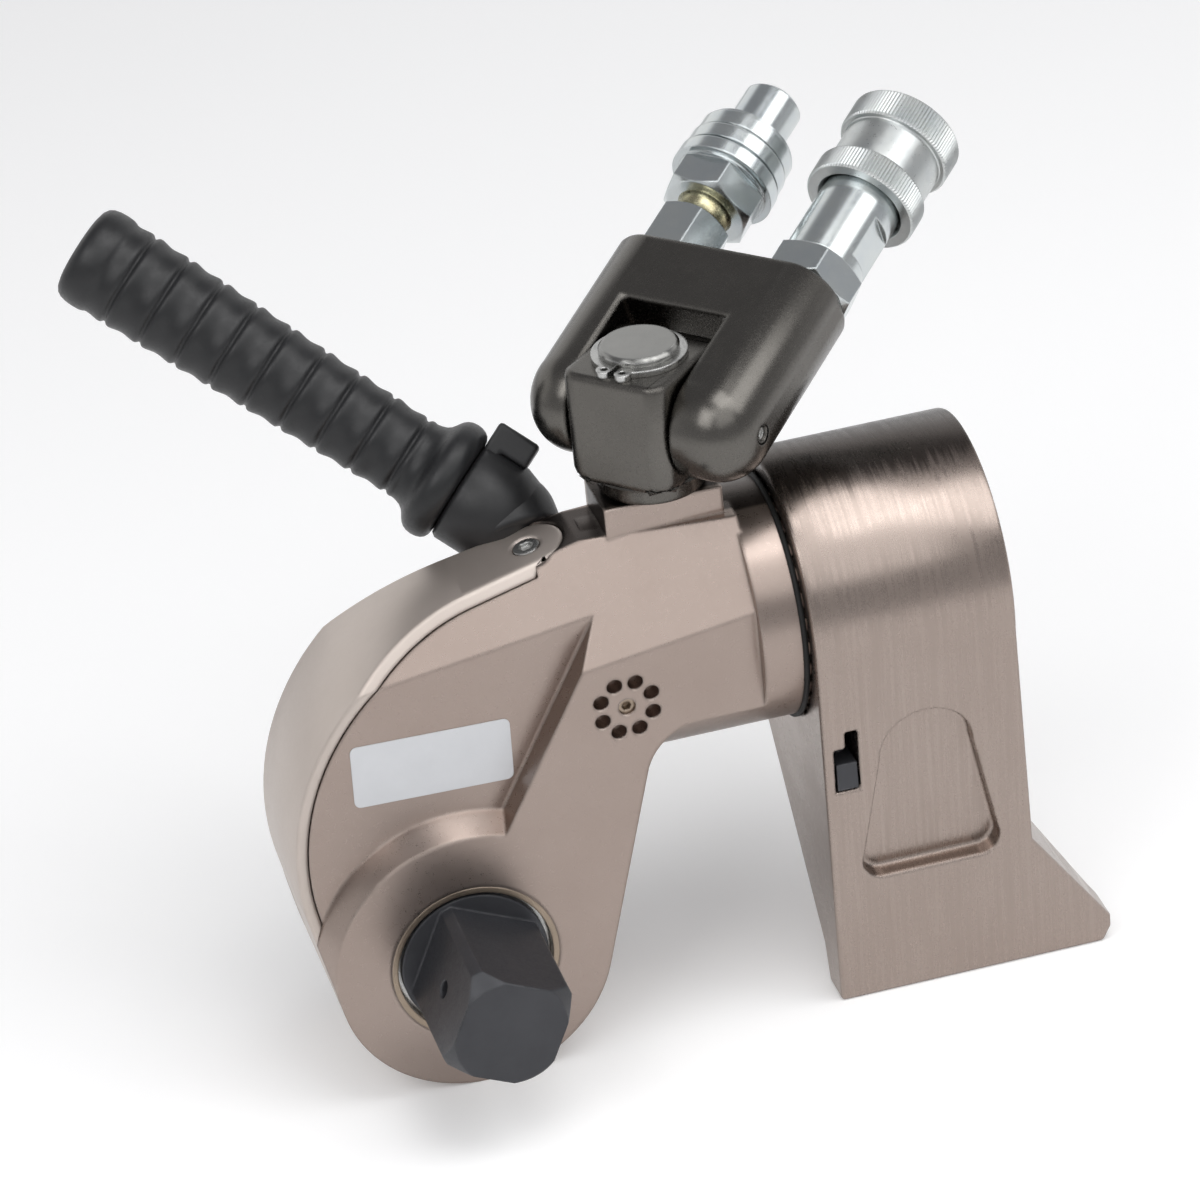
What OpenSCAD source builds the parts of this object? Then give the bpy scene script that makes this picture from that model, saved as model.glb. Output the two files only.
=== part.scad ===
// Hydraulic torque wrench with a square drive, a splined reaction arm,
// a two-axis hose swivel with quick couplers, and a screw-in handle.
// Millimetres. X runs along the piston, from the head towards the reaction arm.
// Y runs along the drive axis, away from the square. Z is up.
// The origin is on the drive axis, in the face of the head that the square leaves.

/* [Head] */
// Width of the head over its raised bosses
head_w = 50; // [46:0.5:56]
// Depth of the recessed panel on each side of the head
panel_depth = 7; // [5:0.5:8]
// Radius of the nose round the drive axis
nose_r = 33.5; // [33:0.1:36]
// Radius of the crown arc at the back of the head
crown_r = 63; // [60:0.5:66]
// Place of the crown arc's centre along the piston
crown_x = 24.5; // [22:0.5:28]
// Height of the crown arc's centre over the drive axis
crown_z = 28; // [25:0.5:31]
// Slope of the roof in degrees
roof_slope = 12.9; // [10:0.1:15]
// Height of the flat roof over the drive axis
roof_z = 96; // [94:0.5:98]
// Lean of the neck's right side in degrees
neck_lean = 15.5; // [12:0.5:18]
// Fillet where the neck meets the cylinder
neck_fillet = 15; // [10:1:20]
// Radius of the raised boss round the drive
boss_r = 34; // [32:0.5:36]
// How far the step round a raised boss slopes out
step_run = 3.5; // [2:0.5:5]
// Where the edge of the raised shoulder meets the drive axis level
shoulder_x = -8; // [-12:0.2:-7]
// Lean of the raised shoulder's edge in degrees
shoulder_lean = 60; // [56:1:64]
// Draft of the raised shoulder's step in degrees
shoulder_draft = 3; // [0:1:10]
// Height of the long side bevel at the head's face, over the drive axis
bevel_z = 66.4; // [64:0.2:70]
// Rise of the bevel along the piston in degrees
bevel_rise = 8; // [5:0.5:10]
// Steepness of the bevel across the head in degrees
bevel_tilt = 54.2; // [50:0.2:58]

/* [Cylinder] */
// Height of the piston axis over the drive axis
piston_z = 67; // [66:0.5:69]
// Outer radius of the cylinder
cylinder_r = 29.2; // [28.5:0.1:30]
// Radius of the piston's bore
bore_r = 17.5; // [16:0.5:19]
// Where the flats of the head end on the cylinder
flats_end = 76.6; // [75:0.2:79]
// Where the smooth collar of the cylinder ends
collar_end = 85.8; // [84:0.2:86]
// Where the splined tail of the cylinder ends
tail_end = 134; // [132:0.5:136]
// Length of the rod gland
gland_len = 10; // [8:0.5:12]
// Where the gland seats in the cylinder
gland_x = 47; // [46:0.5:48]
// Radius of the end cap
end_cap_r = 20.5; // [20:0.5:22]
// Thickness of the end cap
end_cap_len = 9; // [7:0.5:11]

/* [Splines] */
// Number of spline teeth
spline_teeth = 30; // [20:1:40]
// Height of a spline tooth
spline_h = 1.6; // [1.2:0.1:2]
// Clearance all round a spline tooth
spline_clear = 0.3; // [0.2:0.05:0.4]

/* [Drive] */
// Across the flats of the square
square_af = 25.4; // [19.05:0.01:28]
// How far the square stands out of the head
square_len = 33; // [28:0.5:40]
// Turn of the square in its rest position, in degrees
square_turn = -25; // [-45:1:45]
// Across the rounded corners of the square
square_corner_d = 33.4; // [32:0.1:35]
// Outer radius of the drive bushes
bush_r = 20.4; // [20:0.1:21.5]
// Wall of the drive bushes
bush_wall = 1.5; // [1:0.1:2]
// How far the ratchet hub sits back in its bushes
hub_setback = 3; // [2:0.5:4]
// Radius of the drive's splined shank over its teeth
shank_r = 13; // [12:0.2:14]
// Radius of the push button in the drive retainer
button_r = 5; // [4:0.2:6]
// Travel of the push button
button_travel = 3; // [2:0.5:3.5]

/* [Ratchet and crank] */
// Number of ratchet teeth
ratchet_teeth = 28; // [20:1:36]
// Tip radius of the ratchet
ratchet_r = 24.5; // [23.5:0.1:25]
// Height of a ratchet tooth
ratchet_h = 2.4; // [1.8:0.1:3]
// Width of the ratchet
ratchet_w = 14; // [12:0.5:15]
// Thickness of each crank cheek
cheek_t = 5.2; // [4.5:0.1:5.5]
// Radius of a crank cheek round the drive
cheek_r = 27.6; // [26.5:0.1:28]
// Radius of a crank cheek round its pin
cheek_tip_r = 9; // [8:0.5:10]
// Radius of the crank pin
crank_pin_r = 5.5; // [5:0.1:6]
// Turn of the crank to the right of upright, piston drawn back, in degrees
crank_start = 28; // [26:0.5:29]
// Width of the drive pawl
pawl_w = 15; // [12:0.5:18]
// Height of the drive pawl
pawl_h = 9; // [8:0.5:10]
// Lift of the drive pawl
pawl_lift = 3; // [2.6:0.1:3.2]

/* [Piston] */
// Radius of the piston rod
rod_r = 9; // [8:0.2:10]
// Length of the piston
piston_len = 23; // [20:0.5:24]
// Where the piston's front face stands when drawn back
piston_x = 98; // [96:0.5:99]
// Thickness of the rod eye across the crank
rod_eye_w = 13; // [11:0.5:13.4]
// Wall of the rod eye round its slot
rod_eye_wall = 2.8; // [2.4:0.1:3.2]
// Room for the crank pin in the rod eye
rod_eye_clear = 1; // [0.9:0.05:1.2]

/* [Shroud] */
// Thickness of the shroud over the crank slot
shroud_t = 3; // [2:0.25:4]
// Where the shroud's rounded end is centred on the roof
shroud_end_x = 28.2; // [24:0.2:30]
// Radius of the shroud's rounded end
shroud_end_r = 9; // [8:0.5:10]
// Where the shroud ends round the nose, in degrees
shroud_low = 245; // [230:1:255]
// Radius of a shroud screw's head
shroud_screw_r = 3.2; // [2.8:0.1:3.6]

/* [Vent holes] */
// Place of the vent pattern along the piston
vent_x = 42.8; // [40:0.2:46]
// Height of the vent pattern over the drive axis
vent_z = 59.6; // [57:0.2:62]
// Radius of the ring of vent holes
vent_ring_r = 6.6; // [6:0.1:7]
// Radius of a vent hole
vent_hole_r = 1.9; // [1.5:0.1:2.1]
// Number of vent holes in the ring
vent_count = 8; // [6:1:8]
// Depth of the vent holes
vent_depth = 5; // [3:0.5:7]

/* [Swivel] */
// Place of the swivel along the piston
swivel_x = 60; // [58:0.5:61]
// Length of the swivel's pad
pad_len = 28.5; // [26:0.5:30]
// Width of the swivel's pad
pad_w = 18; // [17:0.5:22]
// Height of the pad's top over the drive axis
pad_z = 103; // [101:0.5:105]
// Radius of the swivel's spindle
spindle_r = 9.5; // [8:0.1:10]
// Radius of the spindle's foot in the pad
spindle_foot_r = 7.5; // [6:0.1:8]
// How far the spindle stands over its circlip
spindle_stand = 2; // [1.6:0.2:3.5]
// Width of the knuckle across the lobes
knuckle_w = 27; // [26:0.5:28]
// Depth of the knuckle
knuckle_d = 29; // [28:0.5:30]
// Height of the knuckle
knuckle_h = 33; // [31:0.5:34]
// Height of the tilt axis over the pad
tilt_h = 19; // [18:0.5:20]
// Turn of the knuckle in its rest position, in degrees
knuckle_turn = -47; // [-90:1:90]
// Tilt of the manifold in its rest position, in degrees from upright
tilt_stop = 70; // [45:1:72]
// Radius of a trunnion
trunnion_r = 7; // [6:0.2:8]

/* [Manifold] */
// Width of the manifold
manifold_w = 60; // [56:0.5:64]
// Thickness of the manifold and of its round lobes
manifold_t = 26; // [24:0.5:27]
// How far the manifold reaches past the tilt axis
manifold_reach = 41.5; // [38:0.5:44]
// Offset of the manifold to the return side
manifold_offset = 1.75; // [0:0.25:3]
// Radius of the manifold's long edges
manifold_edge_r = 11; // [6:0.5:12]
// Depth of the slot for the knuckle past the tilt axis
manifold_slot = 22; // [21.5:0.5:24]
// Gap between the knuckle and a lobe
lobe_gap = 0.5; // [0.3:0.1:0.8]
// Distance between the couplers
coupler_pitch = 37.4; // [36:0.2:40]
// Offset of the couplers to the return side
coupler_offset = 2.1; // [0:0.1:3]

/* [Couplers] */
// Across the flats of the supply adaptor
supply_adaptor_af = 17; // [15:0.5:20]
// Radius of the supply adaptor's neck
supply_neck_r = 6.2; // [5.5:0.1:7]
// Across the flats of the supply nipple
supply_hex_af = 21; // [19:0.5:24]
// Radius of the supply nipple's collar
supply_collar_r = 13.2; // [12:0.1:14]
// Radius of the supply nipple's tip
tip_r = 7.4; // [6.5:0.05:8]
// Length of the supply nipple's tip
tip_len = 14; // [12:0.5:18]
// Across the flats of the return adaptor
return_adaptor_af = 21; // [19:0.5:24]
// Radius of the return coupler's body
return_body_r = 10; // [9.8:0.1:10.5]
// Radius of the return coupler's sleeve
sleeve_r = 12.3; // [12:0.1:13]
// Radius of the sleeve's knurled rings
sleeve_ring_r = 14; // [13.5:0.1:15]
// Length of the return coupler's sleeve
sleeve_len = 26; // [24:0.5:28]
// Travel of the sleeve
sleeve_travel = 4; // [3:0.5:5]
// Travel of the poppets
poppet_travel = 3; // [2:0.5:4]

/* [Reaction arm] */
// Where the arm's ring starts along the piston
arm_x = 86.5; // [86:0.1:87.5]
// Width of the arm's ring along the piston
arm_w = 49.1; // [46:0.1:52]
// Outer radius of the arm's ring
arm_r = 34.6; // [33.5:0.1:36]
// Where the foot's front edge stands, across the head
foot_y = -1.5; // [-4:0.5:2]
// Thickness of the foot's edge
foot_t = 10; // [8:0.5:14]
// Reach of the flared foot past the arm's ring
foot_flare = 21; // [10:0.5:24]
// Height of the flare over the floor
flare_h = 35; // [25:1:40]
// Height over the floor where the leg's back starts to slant
leg_back_h = 75.5; // [70:0.5:80]
// Depth of the front pocket
pocket_depth = 4.5; // [3:0.5:6]
// Width of the front pocket
pocket_w = 34; // [28:0.5:36]
// Height of the front pocket
pocket_h = 45; // [38:0.5:47]
// Height of the pocket's lower edge over the floor
pocket_low = 34.5; // [30:0.5:38]
// Width of the arm latch's thumb piece
latch_w = 5; // [4:0.2:6]
// Height of the arm latch's thumb piece
latch_h = 7; // [6:0.2:9]
// Travel of the arm latch
latch_travel = 4; // [3:0.5:5]
// Radius of the latch plunger
latch_pin_r = 2.2; // [1.8:0.1:2.4]

/* [Handle] */
// Radius of the handle's flange
flange_r = 15.2; // [14:0.1:16]
// Thickness of the handle's rounded flange
flange_t = 8; // [6:0.5:9]
// Length of the grip with its flange
grip_len = 106; // [98:1:115]
// Radius of the grip at its tip
grip_tip_r = 12.3; // [11:0.1:13]
// Radius of the grip next to its flange
grip_root_r = 9.7; // [9:0.1:11]
// Number of grooves in the grip
grip_grooves = 9; // [7:1:9]
// Distance between the grooves in the grip
groove_pitch = 9.65; // [8:0.05:10]
// Depth of a groove in the grip
groove_depth = 1.1; // [0.6:0.1:1.5]
// Radius of the lobed lock collar
lock_collar_r = 12.4; // [12:0.2:14]
// Reach of the lock collar's lug from the grip's axis
lock_lug_r = 18.6; // [16:0.2:20]
// Number of lobes on the lock collar
lock_collar_lobes = 8; // [6:1:10]
// Radius of the handle's base
handle_base_r = 11.5; // [10:0.5:12]
// Radius of the steel core in the grip
core_r = 5; // [4:0.5:6]

/* [Clearances] */
// Radial clearance of a running fit
run_clear = 0.05; // [0.03:0.01:0.08]
// Clearance of pieces that seat in each other
seat_clear = 0.02; // [0.02:0.01:0.05]
// Gap between faces that pass each other
pass_gap = 0.4; // [0.3:0.05:0.6]

/* [Hidden] */
$fn = 64;
far = 300;

mid_y = head_w / 2;
floor_z = -nose_r;
hub_r = bush_r - bush_wall - run_clear;
crank_r = piston_z;

// Colours
nickel = [0.72, 0.66, 0.60];
bronze_grey = [0.27, 0.26, 0.24];
zinc = [0.80, 0.82, 0.84];
oxide = [0.22, 0.22, 0.24];
steel = [0.62, 0.63, 0.65];
brass = [0.78, 0.64, 0.38];
rubber = [0.12, 0.12, 0.12];

// Left tangent between the nose and the crown, as the angle of its normal
crown_dist = norm([crown_x, crown_z]);
tangent_a = atan2(crown_z, crown_x) + acos((nose_r - crown_r) / crown_dist);
// Half angle and back reach of the diamonds that close the crown's seams
seam_spread = 15;
seam_back = 5;
// Roof line: where it leaves the crown arc, and where it turns flat
function roof_touch(in) = [crown_x, crown_z] + polar(crown_r - in, 90 + roof_slope);
function roof_turn(in) =
    let (touch = roof_touch(in), top = roof_z - in)
    [touch[0] + (top - touch[1]) / tan(roof_slope), top];
function polar(r, a) = [r * cos(a), r * sin(a)];
neck_touch = polar(nose_r, -neck_lean);
function neck_x(z) = neck_touch[0] + (z - neck_touch[1]) * tan(neck_lean);
// Height where the flat face of the head runs off the round cylinder
flat_low_z = piston_z - sqrt(cylinder_r * cylinder_r - mid_y * mid_y);

// Crank and piston
pin_x = crank_r * sin(crank_start);
pin_z = crank_r * cos(crank_start);
eye_half = crank_pin_r + rod_eye_clear + rod_eye_wall;
eye_neck = 3.2;
rod_start = pin_x + eye_half + eye_neck;
eye_stud_r = 5;
eye_stud_len = 2.6;
eye_rise = 0.8;
eye_low = 0.4;
piston_stud_r = 6;
piston_web = 6;
stud_gap = 0.2;
seal_side = 0.1;
piston_seal_w = 4;
piston_seal_t = 3;
piston_seal_x = piston_x + piston_len / 2 - piston_seal_w / 2;
gland_lip = 2;
gland_seal_w = 3;
gland_seal_x = gland_x + gland_len - gland_lip - gland_seal_w;
gland_seal_r = rod_r + 2.5;
cap_x = tail_end - end_cap_len;
cap_spigot = 2.5;
cap_seal_w = 3;
cap_seal_t = 2;
cap_seal_x = cap_x + 2;
spanner_r = 2.5;
spanner_depth = 5;
spline_w = PI * cylinder_r / spline_teeth;

// Ratchet and pawl
ratchet_y0 = mid_y - ratchet_w / 2;
ratchet_y1 = mid_y + ratchet_w / 2;
cheek_in = ratchet_w / 2 + pass_gap;
wall_y = mid_y - cheek_in - cheek_t - pass_gap;
pawl_low = ratchet_r + 0.4;
pawl_seat = pawl_low + pawl_h + pawl_lift + 3;
pawl_clear = 0.3;
pawl_spring_r = 3.6;
pawl_wire = 0.6;
pawl_pocket = 5;
guide_t = 3;
guide_lift = 3.5;
bridge_top = crank_r - 17;

// Drive
shank_teeth = 16;
shank_root_r = shank_r - 1.4;
shank_tooth_w = PI * shank_r / shank_teeth;
shank_clear = 0.1;
shank_end = head_w - hub_setback - 2;
cross_hole_r = 2.2;
shoulder_r = hub_r - 1;
shoulder_y = 0.6;
button_foot = shank_end + 1;
button_pit = 12;
retainer_t = 4;
retainer_y = head_w - hub_setback;

// Swivel, with heights over its pad
spindle_foot = 13;
spindle_bevel = 0.8;
spindle_seal_spots = [5, 12, 27];
seal_wire = 1.1;
circlip_t = 1.5;
circlip_depth = 1.1;
circlip_out = 1.8;
ear_r = 2;
ear_hole_r = 0.9;
knuckle_z = pass_gap;
circlip_z = knuckle_z + knuckle_h + seat_clear;
spindle_top = circlip_z + circlip_t + spindle_stand;
knuckle_base_r = 13;
knuckle_step = 5;
knuckle_corner_r = 4;
trunnion_stud_r = 4.6;
trunnion_stud_len = 3.2;
trunnion_len = 11;
trunnion_seal_spots = [3, 7.5];
trunnion_wire = 1;

// Manifold
port_r = 6;
port_depth = 12;
plug_r = 1.6;
plug_len = 2;
supply_at = coupler_offset - coupler_pitch / 2;
return_at = coupler_offset + coupler_pitch / 2;

// Couplers, with heights over the manifold's end face
thread_len = 10;
flow_r = 3;
seat_wall = 5;
poppet_r = 4.2;
poppet_h = 7;
stem_r = 2.6;
poppet_room = poppet_h + poppet_travel + pass_gap + 7.1;
supply_hex_h = 15.5;
supply_neck_h = 5;
nipple_hex_h = 9;
nipple_collar_h = 14.5;
nipple_z = supply_hex_h + supply_neck_h;
tip_end = nipple_z + nipple_hex_h + nipple_collar_h + tip_len;
return_hex_h = 9;
return_body_h = 46.5;
return_end = return_hex_h + return_body_h;
socket_r = 7;
socket_depth = 18;
socket_web = 3;
ball_r = 1.5;
ball_z = return_end - 7;
ball_ring_r = socket_r + ball_r + 0.05;
ball_count = 6;
sleeve_z = 30.5;
sleeve_lip = 1.5;
sleeve_band_h = 7;
sleeve_wire = 0.5;
sleeve_in_r = return_body_r + 0.35;
sleeve_pocket_r = return_body_r + 1.5;
sleeve_pocket_h = 13;

// Reaction arm and its latch
arm_lean = atan((foot_y + arm_r - mid_y) / (piston_z - floor_z));
latch_x = arm_x + 6;
latch_in = 11.6;
latch_y = mid_y - arm_r + latch_in;
latch_clear = 0.4;
latch_spring_r = 1.4;
latch_wire = 0.4;
pocket_corner_r = 5;
pocket_arch_r = 11.5;
pocket_shift = 1.2;
latch_low = floor_z + 61.8;
latch_slot_h = 16;
latch_groove_r = 26.4;
latch_groove_w = 2 * latch_pin_r + 2;
latch_spring_h = 9;

// Screws
vent_screw_r = 2.1;
screw_head_h = 1.6;
low_screw_a = shroud_low - 12;
roof_screw_z = roof_touch(0)[1] + (shroud_end_x - roof_touch(0)[0]) * tan(roof_slope);
// Each shroud screw's place, the way it points out, and its length
shroud_screw_spots = [
    [shroud_end_x, roof_screw_z, -roof_slope, 9],
    [nose_r * cos(low_screw_a), nose_r * sin(low_screw_a), 90 - low_screw_a, 3.6]];

// Handle: its base stands square on the far bevel, the grip leans from there
base_x = 29.1;
base_in = 12.3;
base_h = 6;
base_stud_r = 5;
base_stud_len = 8;
base_way = [-cos(bevel_tilt) * sin(bevel_rise), sin(bevel_tilt), cos(bevel_tilt) * cos(bevel_rise)];
base_spot = [base_x, head_w - base_in,
    bevel_z + base_x * tan(bevel_rise) + base_in * tan(bevel_tilt) / cos(bevel_rise)];
grip_lean = 57.3;
grip_heading = 146.1;
collar_at = 10;
flange_at = 14;
lug_turn = 216;
lug_w = 11;
lug_foot = 3;
core_foot = 4;
groove_w = 1.2;
core_end = flange_at + grip_len - 14;

// A profile in X and Z, drawn out along Y
module drawn_y(y0, y1) {
    translate([0, y1, 0])
        rotate([90, 0, 0])
            linear_extrude(y1 - y0)
                children();
}

// A profile in Y and Z, drawn out along X
module drawn_x(x0, x1) {
    translate([x0, 0, 0])
        rotate([90, 0, 90])
            linear_extrude(x1 - x0)
                children();
}

// A round bar along Y
module bar_y(r, y0, y1) {
    translate([0, y1, 0])
        rotate([90, 0, 0])
            cylinder(r = r, h = y1 - y0);
}

// A round bar on the piston axis
module bar_x(r, x0, x1) {
    translate([x0, mid_y, piston_z])
        rotate([0, 90, 0])
            cylinder(r = r, h = x1 - x0);
}

// A tube on the piston axis
module tube_x(r_out, r_in, x0, x1) {
    difference() {
        bar_x(r_out, x0, x1);
        bar_x(r_in, x0 - 1, x1 + 1);
    }
}

// The same shape on both sides of the head
module both_sides() {
    children();
    translate([0, head_w, 0])
        mirror([0, 1, 0])
            children();
}

// Two circles, one over the other, joined by their tangents
module link(r_low, r_high, d) {
    a = acos((r_low - r_high) / d);
    circle(r_low);
    translate([0, d])
        circle(r_high);
    polygon([
        [r_low * sin(a), r_low * cos(a)], [r_high * sin(a), d + r_high * cos(a)],
        [-r_high * sin(a), d + r_high * cos(a)], [-r_low * sin(a), r_low * cos(a)]]);
}

// A hexagon by its flats
module hexagon(af) {
    circle(r = af / sqrt(3), $fn = 6);
}

// A ring of round section
module o_ring(r, wire) {
    rotate_extrude()
        translate([r, 0])
            circle(wire, $fn = 24);
}

// A coil spring that stands on the XY plane
module coil(r, wire, len, turns) {
    sides = 8;
    steps = 14;
    last = turns * steps;
    points = [for (i = [0:last], k = [0:sides - 1])
        let (a = 360 * i / steps, b = 360 * k / sides, reach = r + wire * cos(b))
        [reach * cos(a), reach * sin(a), wire + (len - 2 * wire) * i / last + wire * sin(b)]];
    walls = [for (i = [0:last - 1], k = [0:sides - 1])
        let (n = (k + 1) % sides)
        [i * sides + k, (i + 1) * sides + k, (i + 1) * sides + n, i * sides + n]];
    first_end = [[for (k = [0:sides - 1]) k]];
    last_end = [[for (k = [sides - 1:-1:0]) last * sides + k]];
    polyhedron(points, concat(walls, first_end, last_end), convexity = 10);
}

// Spline teeth round a root circle
module splined(r_root, r_tip, teeth, tooth_w) {
    intersection() {
        circle(r_tip);
        union() {
            circle(r_root);
            for (i = [0:teeth - 1])
                rotate(360 * i / teeth)
                    translate([r_root - 1, -tooth_w / 2])
                        square([r_tip - r_root + 2, tooth_w]);
        }
    }
}

// Side view of the head, drawn in from its outer edge
module head_outline(in = 0) {
    nose_low = polar(nose_r - in, tangent_a);
    crown_low = [crown_x, crown_z] + polar(crown_r - in, tangent_a);
    touch = roof_touch(in);
    turn = roof_turn(in);
    circle(nose_r - in);
    polygon([
        [0, 0], neck_touch, [neck_x(flat_low_z), flat_low_z], [flats_end, flat_low_z],
        [flats_end, turn[1]], turn, touch, [crown_x, crown_z], crown_low, nose_low]);
    intersection() {
        translate([crown_x, crown_z])
            circle(crown_r - in);
        polygon([
            [crown_x, crown_z], [crown_x, crown_z] + polar(far, tangent_a),
            [-far, far], [crown_x, crown_z] + polar(far, 90 + roof_slope)]);
    }
    crown_seam(touch, 90 + roof_slope);
    crown_seam(crown_low, tangent_a);
}

// Diamond that closes the seam between the crown's sector and the rest of the outline
module crown_seam(tip, a) {
    centre = [crown_x, crown_z];
    polygon([
        tip, centre + polar(crown_r / 2, a + seam_spread),
        centre - polar(seam_back, a), centre + polar(crown_r / 2, a - seam_spread)]);
}

// Fillet in the corner under the cylinder
module neck_corner() {
    centre_z = flat_low_z - neck_fillet;
    centre = [neck_x(centre_z) + neck_fillet / cos(neck_lean), centre_z];
    difference() {
        polygon([
            centre - polar(neck_fillet, -neck_lean), [neck_x(flat_low_z) - 4, flat_low_z],
            [neck_x(flat_low_z), flat_low_z + 4], centre + [0, neck_fillet + 4], centre + [0, neck_fillet]]);
        translate(centre)
            circle(neck_fillet + 0.05);
    }
}

// Everything over the long bevel on the near side
module bevel_side(lift = 0) {
    translate([0, 0, bevel_z + lift])
        rotate([0, -bevel_rise, 0])
            rotate([bevel_tilt, 0, 0])
                translate([-far / 2, -far / 2, 0])
                    cube([far, far, 60]);
}

// Everything behind the steep step of the raised shoulder
module shoulder_side() {
    translate([shoulder_x, 0, 0])
        rotate([0, -shoulder_lean, 0])
            rotate([shoulder_draft, 0, 0])
                translate([-far / 2, -far / 2, -far])
                    cube([far, far, far]);
}

// Raised parts of one face of the head: the drive boss and the shoulder
module raised_face() {
    intersection() {
        drawn_y(0, panel_depth + 1) {
            head_outline();
            neck_corner();
        }
        union() {
            translate([0, panel_depth + 0.01, 0])
                rotate([90, 0, 0])
                    cylinder(r1 = boss_r + step_run, r2 = boss_r, h = panel_depth + 0.01);
            shoulder_side();
        }
    }
}

// Everything outside the shroud's inner face, along the rim that the shroud takes up
module shroud_seat(t, side) {
    edge = shroud_end_x + shroud_end_r + 20;
    intersection() {
        drawn_y(panel_depth - side, head_w - panel_depth + side)
            difference() {
                polygon([
                    [0, 0], polar(far, shroud_low + side), [-far, -far],
                    [-far, far], [edge, far], [edge, 40]]);
                head_outline(t);
            }
        union() {
            translate([-far, -far / 2, -far])
                cube([far + shroud_end_x, far, 2 * far]);
            translate([shroud_end_x, mid_y, 0])
                cylinder(r = shroud_end_r + side, h = far);
        }
    }
}

// Side view of the room for the crank and the rod eye
module crank_room() {
    room_r = cheek_r + 1.8;
    room_top = piston_z + eye_half + 2;
    cheek_a = asin((cheek_r - cheek_tip_r) / crank_r);
    circle(room_r);
    polygon([
        [0, 0], polar(room_r, cheek_a - crank_start), [rod_start, pin_z],
        [rod_start, room_top], [0, room_top]]);
    intersection() {
        head_outline(shroud_t);
        polygon([[0, 0], [-far, -10], [-far, far], [0, far]]);
    }
}

// Axis and place of the swivel spindle
module on_swivel(z = 0) {
    translate([swivel_x, mid_y, pad_z + z])
        children();
}

// Square on the far bevel, at the handle's base
module on_base(z = 0) {
    translate(base_spot)
        rotate([0, acos(base_way[2]), atan2(base_way[1], base_way[0])])
            translate([0, 0, z])
                children();
}

// Along the grip, from the middle of the handle's base
module on_grip(z = 0) {
    translate(base_spot + base_h * base_way)
        rotate([0, grip_lean, grip_heading])
            translate([0, 0, z])
                children();
}

// Place of the vent pattern on the near face
module on_vent() {
    translate([vent_x, 0, vent_z])
        rotate([90, 0, 0])
            children();
}

module housing() {
    color(nickel)
        difference() {
            union() {
                difference() {
                    union() {
                        drawn_y(panel_depth, head_w - panel_depth) {
                            head_outline();
                            neck_corner();
                        }
                        both_sides()
                            raised_face();
                        intersection() {
                            bar_x(cylinder_r, gland_x - 6, flats_end);
                            translate([0, 0, -far])
                                cube([far, head_w, 2 * far]);
                        }
                    }
                    both_sides()
                        bevel_side();
                }
                translate([swivel_x - pad_len / 2, mid_y - pad_w / 2, piston_z])
                    cube([pad_len, pad_w, pad_z - piston_z]);
                bar_x(cylinder_r, flats_end - 1, collar_end);
                drawn_x(collar_end - 1, tail_end)
                    translate([mid_y, piston_z])
                        splined(cylinder_r - spline_h, cylinder_r, spline_teeth, spline_w);
            }
            shroud_seat(shroud_t + 0.1, 0.1);
            drawn_y(wall_y, head_w - wall_y)
                crank_room();
            bar_y(bush_r, -1, head_w + 1);
            bar_x(rod_r + 1, 20, gland_x + 1);
            bar_x(bore_r, gland_x, tail_end + 1);
            bar_x(end_cap_r, cap_x, tail_end + 1);
            tube_x(cylinder_r + 1, latch_groove_r,
                latch_x - latch_groove_w / 2, latch_x + latch_groove_w / 2);
            on_swivel(-spindle_foot)
                cylinder(r = spindle_foot_r, h = far);
            on_base(-base_stud_len)
                cylinder(r = base_stud_r, h = far);
            on_vent()
                translate([0, 0, -vent_depth]) {
                    cylinder(r = vent_screw_r, h = far);
                    for (i = [0:vent_count - 1])
                        rotate(360 * (i + 0.5) / vent_count)
                            translate([vent_ring_r, 0])
                                cylinder(r = vent_hole_r, h = far);
                }
            for (spot = shroud_screw_spots)
                at_screw(spot)
                    translate([0, 0, -spot[3]])
                        cylinder(r = shroud_screw_r / 2, h = spot[3] + 1);
        }
}

// A shroud screw's place on the rim, and the way it points out
module at_screw(spot) {
    translate([spot[0], mid_y, spot[1]])
        rotate([0, spot[2], 0])
            children();
}

module shroud() {
    color(nickel)
        difference() {
            intersection() {
                shroud_seat(shroud_t, 0);
                drawn_y(0, head_w)
                    head_outline();
            }
            both_sides()
                bevel_side();
            for (spot = shroud_screw_spots)
                at_screw(spot) {
                    translate([0, 0, -10])
                        cylinder(r = shroud_screw_r / 2 + 0.3, h = 20);
                    translate([0, 0, -screw_head_h])
                        cylinder(r = shroud_screw_r + 0.2, h = 5);
                }
            on_base(-far / 2)
                cylinder(r = base_stud_r + 0.3, h = far);
        }
}

module shroud_screws() {
    color(steel)
        for (spot = shroud_screw_spots)
            at_screw(spot)
                difference() {
                    union() {
                        translate([0, 0, -screw_head_h])
                            cylinder(r = shroud_screw_r, h = screw_head_h - 0.2);
                        translate([0, 0, 0.2 - spot[3]])
                            cylinder(r = shroud_screw_r / 2 - seat_clear, h = spot[3] - 1);
                    }
                    translate([0, 0, -1.2])
                        linear_extrude(5)
                            hexagon(shroud_screw_r);
                }
}

module vent_screw() {
    color(steel)
        on_vent()
            difference() {
                translate([0, 0, -vent_depth])
                    cylinder(r = vent_screw_r - seat_clear, h = vent_depth - 0.8);
                translate([0, 0, -2.6])
                    linear_extrude(5)
                        hexagon(vent_screw_r);
            }
}

module bush(y0, y1) {
    color(brass)
        difference() {
            bar_y(bush_r - seat_clear, y0, y1);
            bar_y(bush_r - bush_wall, y0 - 1, y1 + 1);
        }
}

module front_bush() {
    bush(0, wall_y);
}

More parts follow.
